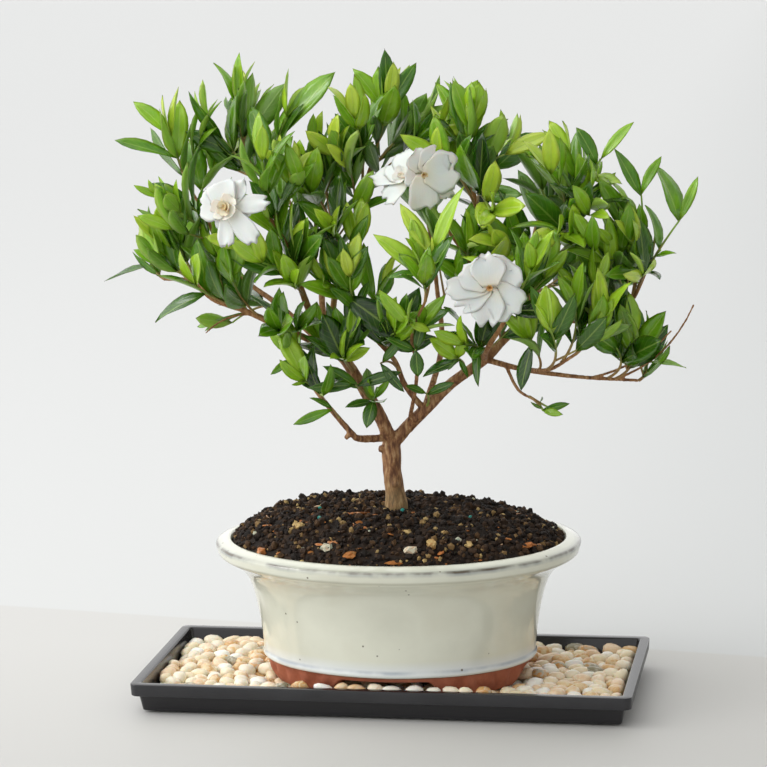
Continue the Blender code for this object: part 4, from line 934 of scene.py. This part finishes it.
def make_pebbles():
    """The settled bed, its stones along the walls laid lengthwise, and the row in front of the feet."""
    draw = Random(23)
    template = ball("pebble", 2, puffed=True)
    stones = []
    for x, y, z, radius in settle_pebbles(draw):
        stretch = draw.uniform(*PEBBLE_STRETCH)
        size = Matrix.Diagonal((radius * stretch, radius / sqrt(stretch), radius * PEBBLE_FLATNESS, 1.0))
        tilt = (Matrix.Rotation(draw.gauss(0.0, PEBBLE_TILT), 4, "X")
                @ Matrix.Rotation(draw.gauss(0.0, PEBBLE_TILT), 4, "Y"))
        heading = draw.uniform(0.0, pi)
        if abs(y) > TRAY_WIDTH / 2 - WALL_REACH:
            heading = draw.gauss(0.0, WALL_HEADING)
        elif abs(x) > TRAY_LENGTH / 2 - WALL_REACH:
            heading = draw.gauss(0.5 * pi, WALL_HEADING)
        turn = Matrix.Translation((x, y, z * PEBBLE_FLATNESS)) @ Matrix.Rotation(heading, 4, "Z")
        seed = seed_place(draw, 50, 50)
        stones.append((template, turn @ tilt @ size, draw.random(), seed))
    for number in range(FRONT_STONES):
        x = FRONT_STONES_START + FRONT_STONES_SPACING * (number + draw.uniform(-0.20, 0.20))
        size = Matrix.Diagonal((draw.uniform(*FRONT_STONE_LENGTH), FRONT_STONE_WIDTH,
                                draw.uniform(*FRONT_STONE_DEPTH), 1.0))
        turn = (Matrix.Translation((x, FRONT_STONES_Y, FRONT_STONES_Z))
                @ Matrix.Rotation(draw.gauss(0.0, FRONT_STONE_TILT), 4, "Y"))
        seed = seed_place(draw, 50, 50)
        stones.append((template, turn @ size, draw.random(), seed))
    bm = bmesh.new()
    heaped(bm, stones, *PEBBLE_LUMPS)
    settle(bm, "pebble_bed", [river_pebble()], "pebbles")


def stretch_at(half_width):
    """How much longer than wide the pot's half outline is, less near its middle."""
    return POT_STRETCH * min(1.0, half_width / FULL_STRETCH_FROM)


def oval(half_width, height, segments=POT_SEGMENTS):
    """A level ring with the pot's outline: longer than it is wide by the pot's stretch."""
    stretch = stretch_at(half_width)
    return [(POT_X + (half_width + stretch) * cos(FULL_TURN * step / segments),
             half_width * sin(FULL_TURN * step / segments), height) for step in range(segments)]


def foot_row(part, on_foot, over_arch):
    """A ring part of the way down the foot ring, with lobes carved between upright grooves on each foot."""
    ring = []
    for step in range(POT_SEGMENTS):
        angle = FULL_TURN * step / POT_SEGMENTS
        depth = foot_depth(angle)
        low_half = over_arch + (on_foot - over_arch) * depth
        low = FOOT_ARCH + (FOOT_BOTTOM - FOOT_ARCH) * depth
        half_width = POT_FOOT_TOP[0] + (low_half - POT_FOOT_TOP[0]) * part
        height = POT_FOOT_TOP[1] + (low - POT_FOOT_TOP[1]) * part
        place = off_foot(angle) / FOOT_HALF_SPAN
        groove = abs(cos(0.5 * pi * FOOT_LOBES * place + 1.2 * (part - 0.5)))
        half_width += FOOT_GROOVE * depth * sin(pi * min(1.0, 1.15 * part)) * (groove - 0.55)
        ring.append((POT_X + (half_width + POT_STRETCH) * cos(angle), half_width * sin(angle), height))
    return ring


def make_pot():
    """One fired piece, drawn from the middle of its inner floor, over the lip and down to its feet."""
    rings = [oval(half_width, height) for half_width, height in POT_INSIDE + POT_LIP + POT_BODY]
    rings += [foot_row(row / FOOT_ROWS, *FOOT_OUTER) for row in range(1, FOOT_ROWS + 1)]
    inner = [foot_row(1.0, *FOOT_INNER), oval(*FOOT_RECESS)]
    rings[-1] = [tuple(0.9 * a + 0.1 * b for a, b in zip(outer, within))
                 for outer, within in zip(rings[-1], inner[0])]
    bm = lofted(rings + inner)
    for face in bm.faces:
        if face.calc_center_median().z < POT_FOOT_TOP[1] - 0.0001:
            face.material_index = 1
    for edge in bm.edges:
        if len({face.material_index for face in edge.link_faces}) == 2:
            edge.smooth = False
    settle(bm, "glazed_pot", [celadon_glaze(), bare_terracotta()], "pot", sharp=50.0)


def soil_outward(x, y):
    """How far out a place lies on the soil, 0 in the middle and 1 at the pot's wall."""
    low, high = 0.001, 1.2
    for _ in range(14):
        part = 0.5 * (low + high)
        half_width = SOIL_WIDTH * part
        if ((x - POT_X) / (half_width + stretch_at(half_width))) ** 2 + (y / half_width) ** 2 > 1.0:
            low = part
        else:
            high = part
    return part


def soil_height(x, y, outward):
    """The mound over the pot's oval: nearly flat on top, steep at the edge, with lumps."""
    rise = SOIL_RISE * (1.0 - outward ** SOIL_STEEPNESS) * (1.0 - SOIL_TILT * (x - POT_X))
    lump = noise.noise(Vector((x, y, 0.0)) * 95.0) + 0.6 * noise.noise(Vector((x, y, 0.05)) * 210.0)
    return SOIL_EDGE + rise + SOIL_LUMP * lump * min(1.0, 3.0 * (1.0 - outward))


def make_soil():
    """The mound with its rough skin, then crumbs and clods all over it, chosen lumps and feed pellets."""
    draw = Random(71)
    rings = [oval(SOIL_SKIRT, SOIL_EDGE - SOIL_DEPTH, SOIL_SEGMENTS)]
    for number in range(SOIL_RINGS):
        part = 1.0 - number / SOIL_RINGS
        ring = []
        for x, y, _ in oval(SOIL_WIDTH * part, 0.0, SOIL_SEGMENTS):
            rough = SOIL_ROUGHNESS * noise.fractal(Vector((x, y, 0.3)) * 380.0, 0.8, 2.1, 3)
            ring.append((x, y, soil_height(x, y, part) + rough * min(1.0, 6.0 * (1.0 - part))))
        rings.append(ring)
    bm = lofted(rings)
    tone = bm.verts.layers.float.new("tone")
    for vert in bm.verts:
        vert[tone] = 0.22 + 0.22 * noise.noise(vert.co * 160.0)
    crumb = ball("crumb", 1)
    clod = ball("clod", 2)
    crumbs = []
    for number in range(SOIL_CRUMBS + SOIL_CLODS):
        is_clod = number < SOIL_CLODS
        outward = sqrt(draw.random()) * 0.985
        turn = draw.uniform(0.0, FULL_TURN)
        half_width = SOIL_WIDTH * outward
        x = POT_X + (half_width + stretch_at(half_width)) * cos(turn)
        y = half_width * sin(turn)
        size = draw.uniform(*CLOD_HALF) if is_clod else CRUMB_LEAST + CRUMB_MORE * draw.random() ** 1.6
        kind = draw.random()
        tint = 0.05 + 0.45 * draw.random()
        shape = [draw.uniform(0.75, 1.2) for _ in range(3)]
        if kind > GRIT_FROM and size < LARGEST_GRIT:
            tint = draw.uniform(*GRIT_TONES)
            shape = [draw.uniform(0.9, 1.25) for _ in range(3)]
        elif kind > FLAKES_FROM:
            tint = draw.uniform(*FLAKE_TONES)
            shape = FLAKE_SHAPE
        elif kind > PALE_FROM:
            tint = PALE_TONE
        sunk = 0.25 * size
        height = soil_height(x, y, outward) + sunk * MM
        way = (Matrix.Rotation(draw.uniform(0, FULL_TURN), 4, "Z")
               @ Matrix.Rotation(draw.gauss(0, 0.4), 4, "X"))
        matrix = Matrix.Translation((x, y, height)) @ way
        matrix = matrix @ Matrix.Diagonal((*[size * MM * part for part in shape], 1))
        crumbs.append((clod if is_clod else crumb, matrix, tint, seed_place(draw, 90, 0)))
    for number, (x, y, size, long, flat, tint) in enumerate(SOIL_LUMPS):
        shape = Matrix.Diagonal((size * long * MM, size * MM, size * flat * MM, 1.0))
        way = Matrix.Rotation(1.7 * number, 4, "Z") @ Matrix.Rotation(0.25, 4, "X")
        lift = soil_height(x, y, soil_outward(x, y)) + 0.35 * size * flat * MM
        crumbs.append((clod, Matrix.Translation((x, y, lift)) @ way @ shape, tint,
                       Vector((number, 7.0, 0.0))))
    heaped(bm, crumbs, *SOIL_LUMPINESS)
    pellet = ball("pellet", 2)
    for x, y in PELLETS:
        lift = soil_height(x, y, soil_outward(x, y)) + PELLET_HALF
        stamp(bm, pellet, Matrix.Translation((x, y, lift)) @ Matrix.Scale(PELLET_HALF, 4), "tone", 1.0)
    settle(bm, "potting_bed", [potting_mix()], "soil", sharp=30.0)


def smooth_route(points, spans):
    """A smooth line through points, with the given number of steps between each two."""
    knots = [Vector(place) for place in points]
    knots = [2 * knots[0] - knots[1]] + knots + [2 * knots[-1] - knots[-2]]
    route = []
    for before, start, end, after in zip(knots, knots[1:], knots[2:], knots[3:]):
        for step in range(spans):
            t = step / spans
            route.append(0.5 * (2 * start + (end - before) * t
                                + (2 * before - 5 * start + 4 * end - after) * t ** 2
                                + (3 * start - before - 3 * end + after) * t ** 3))
    route.append(knots[-2])
    return route


def stems_mesh(stems, sides_setting):
    """Round tapered stems as one mesh. Each is a list of points and a list of radii, in millimetres."""
    curve = bpy.data.curves.new("stems", "CURVE")
    curve.dimensions = "3D"
    curve.bevel_depth = MM
    curve.bevel_resolution = sides_setting
    curve.use_fill_caps = True
    for points, radii in stems:
        spline = curve.splines.new("POLY")
        spline.points.add(len(points) - 1)
        for knot, place, radius in zip(spline.points, points, radii):
            knot.co = (*(Vector(place) * MM), 1.0)
            knot.radius = radius
    mesh = evaluated(in_scene("stems_guide", curve))
    bpy.data.curves.remove(curve)
    return mesh


def tapered(start, end, count):
    """Radii that change evenly from a start to an end."""
    return [start + (end - start) * step / (count - 1) for step in range(count)]


def make_branches():
    """Trunk, limbs and stubs grown together: fused, their forks rounded, then furrowed along the grain."""
    stems = []
    for name, (_, _, start, end, _) in LIMBS.items():
        route = smooth_route(limb_points(name), LIMB_POINTS)
        radii = tapered(start, end, len(route))
        if name == "trunk":
            radii = [radius + ROOT_FLARE * exp(-((place.z - ROOT_FLARE_AT) / 8.0) ** 2) * (place.z > 98)
                     for radius, place in zip(radii, route)]
        swell = THICK_SWELL if start > 3.0 else THIN_SWELL
        radii = [radius * (1.0 + swell * noise.noise(place * 0.09)) for radius, place in zip(radii, route)]
        stems.append((route, radii))
    for limb, part, way, radius, length in STUBS:
        place, _ = point_along(limb, part)
        end = place + Vector(way).normalized() * length
        stems.append(([place, place.lerp(end, 0.7), end], [radius * 1.2, radius, radius * 0.8]))
    for limb, part, end in BARE_TWIGS:
        line = arc(*point_along(limb, part), Vector(end), BARE_TWIG[0])
        stems.append((line, tapered(*BARE_TWIG[1:], len(line))))
    mesh = stems_mesh(stems, 4)
    wood = in_scene("branches", mesh)
    remesh = wood.modifiers.new("grown together", "REMESH")
    remesh.mode = "VOXEL"
    remesh.voxel_size = BARK_VOXEL
    bm = bmesh.new()
    bm.from_mesh(evaluated(wood))
    bpy.data.meshes.remove(mesh)
    for _ in range(BARK_SMOOTHING):
        bmesh.ops.smooth_vert(bm, verts=bm.verts, factor=0.5,
                              use_axis_x=True, use_axis_y=True, use_axis_z=True)
    bm.normal_update()
    for vert in bm.verts:
        grain = Vector((vert.co.x, vert.co.y, 0.30 * vert.co.z)) * 620.0
        depth = BARK_FURROW * (1.0 if vert.co.z < 0.16 else 0.55)
        vert.co += vert.normal * depth * noise.noise(grain)
    settle(bm, "branches", [gardenia_bark()], "trunk")


def limb_points(name):
    """A limb's points in millimetres, the first of them on the limb that bears it."""
    bearer, part, _, _, points = LIMBS[name]
    start = [point_along(bearer, part)[0]] if bearer else []
    return start + [Vector(place) for place in points]


def point_along(name, part):
    """The place on a limb, in millimetres, and the limb's direction there."""
    points = limb_points(name)
    lengths = [(after - before).length for before, after in zip(points, points[1:])]
    left = part * sum(lengths)
    for before, after, length in zip(points, points[1:], lengths):
        if left <= length + 1e-6:
            return before.lerp(after, min(1.0, left / length)), (after - before).normalized()
        left -= length
    return points[-1], (points[-1] - points[-2]).normalized()


def arc(start, direction, end, count):
    """Points on a curve that leaves along a direction and ends at a place."""
    reach = (end - start).length
    middle = start + direction.lerp((end - start).normalized(), 0.45).normalized() * (0.5 * reach)
    return [start * (1 - t) ** 2 + middle * (2 * t * (1 - t)) + end * t ** 2
            for t in (step / count for step in range(count + 1))]


def place_on(line, part):
    """The place and direction part of the way along a line of points."""
    place = min(len(line) - 1.001, part * (len(line) - 1))
    before = int(place)
    return line[before].lerp(line[before + 1], place - before), (line[before + 1] - line[before]).normalized()


def closed_blade(name, along, across, place, thickness, under_material):
    """A thin closed blade over the unit square, set by place(u, v)."""
    bm = bmesh.new()
    bmesh.ops.create_grid(bm, x_segments=along, y_segments=across, size=0.5)
    grain = bm.loops.layers.uv.new("blade")
    bm.verts.layers.float.new("age")
    for face in bm.faces:
        for corner in face.loops:
            corner[grain].uv = (corner.vert.co.x + 0.5, corner.vert.co.y + 0.5)
    copied = bmesh.ops.duplicate(bm, geom=bm.faces[:])
    under = [part for part in copied["geom"] if isinstance(part, bmesh.types.BMFace)]
    below = {vert for face in under for vert in face.verts}
    for face in under:
        face.material_index = under_material
    for vert in bm.verts:
        u, v = vert.co.x + 0.5, 2.0 * vert.co.y
        on_edge = max(abs(v), abs(2.0 * u - 1.0)) > 0.999
        sunk = thickness if vert in below and not on_edge else 0.0
        vert.co = Vector(place(u, v)) - Vector((0.0, 0.0, sunk))
    bmesh.ops.reverse_faces(bm, faces=under)
    bmesh.ops.remove_doubles(bm, verts=bm.verts, dist=1e-4)
    bmesh.ops.recalc_face_normals(bm, faces=bm.faces)
    return finished_mesh(bm, name)


def leaf_template(number, form):
    """A pointed oval leaf of unit length along X: folded up along its midrib, arched, wavy and twisted."""
    half, fold, arch, wave, twist = form
    lower, upper = 1.0, (1.0 - LEAF_WIDEST) / LEAF_WIDEST
    peak = LEAF_WIDEST ** lower * (1.0 - LEAF_WIDEST) ** upper

    def place(u, v):
        u = u ** 0.9
        spread = half * max(0.0, u ** lower * (1.0 - u) ** upper / peak) + LEAF_STALK * (1.0 - u) ** 3
        y = v * spread
        z = fold * abs(y) + wave * half * v * sin(FULL_TURN * (1.2 * u + 0.17 * number))
        turn = twist * u
        return (u * (1.0 - 0.35 * arch * u), y * cos(turn) - z * sin(turn),
                y * sin(turn) + z * cos(turn) - arch * u ** 2)

    return closed_blade("leaf_form", LEAF_ALONG, LEAF_ACROSS, place, LEAF_THICK, 1)


def seen_at(place):
    """Where the camera sees a place in millimetres, on the upright plane through the trunk."""
    eye = CAMERA_PLACE / MM
    ray = place - eye
    reach = -eye.y / ray.y
    return eye.x + reach * ray.x, eye.z + reach * ray.z


def within_crown(place):
    """Whether a place lies inside the crown's outline, as the camera sees it."""
    x, z = seen_at(place)
    inside = False
    for (x1, z1), (x2, z2) in zip(CROWN_OUTLINE, CROWN_OUTLINE[1:] + CROWN_OUTLINE[:1]):
        if (z1 > z) != (z2 > z) and x < x1 + (x2 - x1) * (z - z1) / (z2 - z1):
            inside = not inside
    return inside


def in_clearing(place):
    """Whether a place lies in one of the crown's openings, as the camera sees it."""
    x, z = seen_at(place)
    return any(((x - middle_x) / half_x) ** 2 + ((z - middle_z) / half_z) ** 2 < 1.0
               for middle_x, middle_z, half_x, half_z in CLEARINGS)


def leaf_matrix(root, way, face, length, slim):
    """Puts a unit leaf at a root in millimetres, along a direction, its upper side facing another."""
    along = way.normalized()
    across = face.cross(along)
    if across.length < 1e-3:
        across = along.orthogonal()
    across.normalize()
    upper = along.cross(across).normalized()
    turn = Matrix((along, across, upper)).transposed().to_4x4()
    size = Matrix.Diagonal((length, length * slim, length, 1.0))
    return Matrix.Scale(MM, 4) @ Matrix.Translation(root) @ turn @ size


def leaf_fits(root, tip):
    """Whether a leaf stays in the plant's bounds and outline, and clear of the openings and the flowers."""
    if not all(low <= part <= high for part, (low, high) in zip(tip, PLANT_ROOM)):
        return False
    middle = root.lerp(tip, 0.6)
    if not within_crown(tip) or in_clearing(tip) or in_clearing(middle):
        return False
    for _, _, centre, *_ in BLOOMS.values():
        for place in (middle, tip):
            off = place - Vector(centre)
            depth = off.dot(CAMERA_FORWARD)
            if (off - CAMERA_FORWARD * depth).length < BLOOM_REACH and depth < BLOOM_DEPTH:
                return False
    return True


def outward_from(axis, turn):
    """The direction square to an axis at an angle round it."""
    side = axis.cross(UP if abs(axis.z) < 0.9 else Vector((1.0, 0.0, 0.0))).normalized()
    return Matrix.Rotation(turn, 3, axis) @ side


class Foliage:
    """Gathers the leaves and stems of one shoot."""

    def __init__(self, draw):
        self.draw = draw
        self.leaves = []
        self.stems = []

    def twig(self, line, radii, size, age, whorls, shown=()):
        """A twig with the leaves that stand out, each to a given tip, and its whorls."""
        self.stems.append((line, tapered(*radii, len(line))))
        for part, tip, leaf_age, breadth in shown:
            root, axis = place_on(line, part)
            way = Vector(tip) - root
            face = axis + UP * 0.4 - CAMERA_FORWARD * 0.9
            self.leaves.append((root, way, face, way.length, leaf_age, breadth))
        self.sprout(line, size, age, whorls)

    def sprout(self, line, size, age, whorls):
        """Leaves in whorls down a line from its tip: upright and young there, wide apart and dark below."""
        draw = self.draw
        length = sum((after - before).length for before, after in zip(line, line[1:]))
        turn = draw.uniform(0.0, pi)
        for number, (lean, long_part, whorl_age) in enumerate(WHORLS[:whorls]):
            part = 1.0 - number * WHORL_SPACING * draw.uniform(0.85, 1.2) / length
            if part < LOWEST_WHORL:
                break
            root, axis = place_on(line, part)
            count = 3 if draw.random() < THREE_LEAVED else 2
            leaf_age = age + whorl_age + draw.uniform(-0.22, 0.16)
            for leaf in range(count):
                outward = outward_from(axis, turn + FULL_TURN * leaf / count + draw.uniform(-0.28, 0.28))
                tilt = radians(lean + draw.uniform(-11.0, 11.0))
                way = axis * cos(tilt) + outward * sin(tilt) + UP * RISE_TO_LIGHT * draw.uniform(0.6, 1.3)
                way.normalize()
                away = Vector((0.4 * root.x, root.y - CROWN_MIDDLE, 0.0)).normalized()
                face = Matrix.Rotation(draw.gauss(0.0, 0.8), 3, way) @ (axis * 0.4 + UP * 0.4 + away * 0.7)
                long = LEAF_LENGTH * size * long_part * draw.uniform(0.80, 1.12)
                own_age = leaf_age + draw.uniform(-0.08, 0.08)
                for shortened in LEAF_TRIES:
                    if leaf_fits(root, root + way.normalized() * long * shortened):
                        self.leaves.append((root, way, face, long * shortened, own_age, None))
                        break
            turn += FULL_TURN / (2 * count) + draw.uniform(-0.3, 0.3)

    def build(self, name, forms, materials):
        """Joins the shoot's stems and leaves in one piece."""
        bm = bmesh.new()
        bm.verts.layers.float.new("age")
        bm.loops.layers.uv.new("blade")
        wood = stems_mesh(self.stems, 1)
        bm.from_mesh(wood)
        bpy.data.meshes.remove(wood)
        age = bm.verts.layers.float.get("age")
        main = self.stems[0][0]
        base = Vector(main[0]) * MM
        reach = (Vector(main[-1]) * MM - base).length
        for vert in bm.verts:
            vert[age] = max(0.0, 1.0 - (vert.co - base).length / reach)
        for face in bm.faces:
            face.material_index = 2
        for root, way, face, length, leaf_age, breadth in self.leaves:
            form = forms[self.draw.randrange(len(forms))]
            matrix = leaf_matrix(root, way, face, length, breadth or self.draw.uniform(*LEAF_BREADTH))
            stamp(bm, form, matrix, "age", clamp(leaf_age))
        settle(bm, "foliage_" + name, materials, "shoot_" + name)


def make_foliage():
    """Every shoot: its main twig, its side twigs and one short sprig. Low and hindmost leaves are older and
    darker: partly real age, partly painted shade inside the crown.
    """
    forms = [leaf_template(number, form) for number, form in enumerate(LEAF_FORMS)]
    upper = leaf_face("waxy_leaf_upper", ((0.0, "#c8e04c"), (0.17, "#a1c92a"), (0.38, "#75a618"),
                                          (0.60, "#457610"), (1.0, "#183608")), "#bad468", 0.24, 0.0002)
    under = leaf_face("waxy_leaf_under", ((0.0, "#bddc64"), (0.25, "#9fc64a"), (0.5, "#7da53a"),
                                          (0.75, "#587e2a"), (1.0, "#3b5a1e")), "#c2da88", 0.40, 0.0004)
    materials = [upper, under, young_twig()]
    for number, (name, twigs) in enumerate(SHOOTS.items()):
        draw = Random(4000 + 7 * number)
        foliage = Foliage(draw)
        _, _, (_, y, z), *_ = twigs[0]
        size = SMALL_LEAVED.get(name, 1.0)
        # Low and hindmost shoots get darker leaves, partly for their age and partly as painted shade deep in
        # the crown
        age = 0.10 + 0.0018 * (300.0 - z) + 0.0040 * max(0.0, 220.0 - z) + 0.0020 * max(0.0, y)
        age += draw.uniform(-0.08, 0.08)
        for place, (limb, part, tip, whorls, *shown) in enumerate(twigs):
            steps, *radii = SIDE_TWIG if place else MAIN_TWIG
            line = arc(*point_along(limb, part), Vector(tip), steps)
            foliage.twig(line, radii, size, age, whorls, shown)
        if name not in SMALL_LEAVED:
            root, axis = place_on(foliage.stems[0][0], 0.28 + draw.uniform(-0.06, 0.06))
            outward = outward_from(axis, draw.uniform(0.0, FULL_TURN))
            way = (axis * 0.6 + outward * 0.85 + UP * 0.30).normalized()
            length = draw.uniform(*SPRIG_LENGTH)
            if within_crown(root + way * (length + 8.0)):
                steps, *radii = SPRIG_TWIG
                line = arc(root, way, root + way * length + UP * 2.0, steps)
                foliage.twig(line, radii, size, age + 0.10, SPRIG_WHORLS)
        foliage.build(name, forms, materials)


def petal_mesh(draw, length, width, point, cup, curl, ruffle):
    """One petal of a flower in millimetres: narrow at its claw, with a wavy end that is broad or pointed."""
    phase = draw.uniform(0.0, FULL_TURN)
    lopsided = draw.uniform(-0.45, 0.45)
    notch = draw.uniform(0.05, 0.20) * (1.0 - point)

    def place(u, v):
        opened = 0.42 + 0.58 * sin(0.5 * pi * min(1.0, u / 0.55))
        closing = max(0.0, (u - 0.60) / 0.40) ** 2.2
        spread = width * opened * (1.0 - (0.12 + 0.80 * point) * closing)
        end = 1.0 - 0.16 * v * v * u * u - notch * exp(-((v - lopsided) / 0.20) ** 2) * u ** 3
        end += 0.045 * sin(6.5 * v + phase) * u ** 3
        x = length * u * end
        y = spread * v * (1.0 + 0.06 * sin(9.0 * u + phase))
        z = cup * spread * v * v - curl * length * u ** 2.5
        z += ruffle * u ** 2 * sin(4.2 * v + phase) + 0.4 * ruffle * u * sin(7.0 * u + 3.0 * v + phase)
        return x, y, z

    return closed_blade("petal", PETAL_SPANS, PETAL_SPANS, place, PETAL_THICK, 0)


def petals_of(outer, inner, draw):
    """Turn, length, half width, point, lean, cup, curl, rise and warmth of each petal, outer ones first."""
    for number, (turn, length, half, lean, point) in enumerate(outer):
        yield turn, length, half, point, lean, 0.06, draw.uniform(0.06, 0.08), -PETAL_STACK * number, 0.0
    for layer, (count, length, half, lean, cup, warmth) in enumerate(inner):
        for petal in range(count):
            turn = 360.0 * (petal + 0.5 * layer) / count + draw.uniform(-22.0, 22.0)
            yield (turn, length * draw.uniform(0.8, 1.1), half, 0.1, lean + draw.uniform(-10.0, 10.0), cup,
                   -0.15 * layer, 0.6, warmth)


def make_bloom(draw, name, limb, part, centre, facing, outer, inner, materials):
    """One flower: its stalk and calyx, then every petal from the claw, stacked so that none cross."""
    axis = Vector(facing).normalized()
    middle = Vector(centre)
    side = axis.cross(UP).normalized()
    below = middle - axis * CALYX_LENGTH
    stalk = arc(*point_along(limb, part), below, STALK_STEPS)
    neck = stalk + [below + axis * 0.35 * CALYX_LENGTH, middle - axis * CALYX_TOP]
    bm = bmesh.new()
    bm.verts.layers.float.new("age")
    bm.loops.layers.uv.new("blade")
    wood = stems_mesh([(neck, [STALK_RADIUS] * len(stalk) + CALYX_RADII)], 2)
    bm.from_mesh(wood)
    bpy.data.meshes.remove(wood)
    for face in bm.faces:
        face.material_index = 1
    for turn, length, half, point, lean, cup, curl, rise, warmth in petals_of(outer, inner, draw):
        outward = Matrix.Rotation(radians(turn), 3, axis) @ side
        tilt = radians(lean)
        way = outward * cos(tilt) + axis * sin(tilt)
        mesh = petal_mesh(draw, length, half, point, cup, curl, min(MOST_RUFFLE, 0.03 * length))
        stamp(bm, mesh, leaf_matrix(middle + axis * rise, way, axis, 1.0, 1.0), "age", warmth)
        bpy.data.meshes.remove(mesh)
    settle(bm, "flower_" + name, materials, "bloom_" + name)


def make_flowers():
    materials = [gardenia_petal(), bpy.data.materials["young_twig"]]
    for number, (name, row) in enumerate(BLOOMS.items()):
        make_bloom(Random(90 + number), name, *row, materials)


def make_stage():
    """A wide pale table top, daylight that is brightest at the upper left, and one large soft light there."""
    bm = bmesh.new()
    bmesh.ops.create_grid(bm, x_segments=1, y_segments=1, size=20.0)
    mesh = finished_mesh(bm, "table_top")
    mesh.materials.append(board_with_painted_shade())
    in_scene("table_top", mesh)
    world = bpy.data.worlds.new("daylight")
    world.use_nodes = True
    tree = world.node_tree
    way = add(tree, "TexCoord").outputs["Generated"]
    glow, wall_glow = [
        add(tree, "MapRange", {"Value": add(tree, "VectorMath", {0: way, 1: Vector(towards).normalized()},
                                            operation="DOT_PRODUCT"),
                               "From Min": start, "From Max": end, "To Min": least, "To Max": most},
            interpolation_type=blend) for towards, start, end, least, most, blend in DAYLIGHT]
    strength = add(tree, "Math", {0: glow, 1: wall_glow}, operation="ADD")
    feed(tree.nodes["Background"], {"Color": "#fdfdfd", "Strength": strength})
    bpy.context.scene.world = world
    window = bpy.data.lights.new("window", "AREA")
    window.shape = "DISK"
    window.size = WINDOW_SIZE
    window.energy = WINDOW_POWER
    light = in_scene("window", window)
    light.location = WINDOW_PLACE
    light.rotation_euler = (WINDOW_AIM - WINDOW_PLACE).to_track_quat("-Z", "Y").to_euler()
    bpy.context.scene.view_settings.view_transform = "Standard"


def make_camera():
    data = bpy.data.cameras.new("camera")
    data.lens = CAMERA_LENS
    data.sensor_width = 36.0
    data.clip_end = 60.0
    camera = in_scene("camera", data)
    level = Vector((cos(CAMERA_TURN), sin(CAMERA_TURN), 0.0))
    right = Matrix.Rotation(CAMERA_ROLL, 3, CAMERA_FORWARD) @ level
    turn = Matrix((right, right.cross(CAMERA_FORWARD), -CAMERA_FORWARD)).transposed().to_4x4()
    camera.matrix_world = Matrix.Translation(CAMERA_PLACE) @ turn
    bpy.context.scene.camera = camera


def main():
    make_tray()
    make_pebbles()
    make_pot()
    make_soil()
    make_branches()
    make_foliage()
    make_flowers()
    make_stage()
    make_camera()
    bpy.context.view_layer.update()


main()
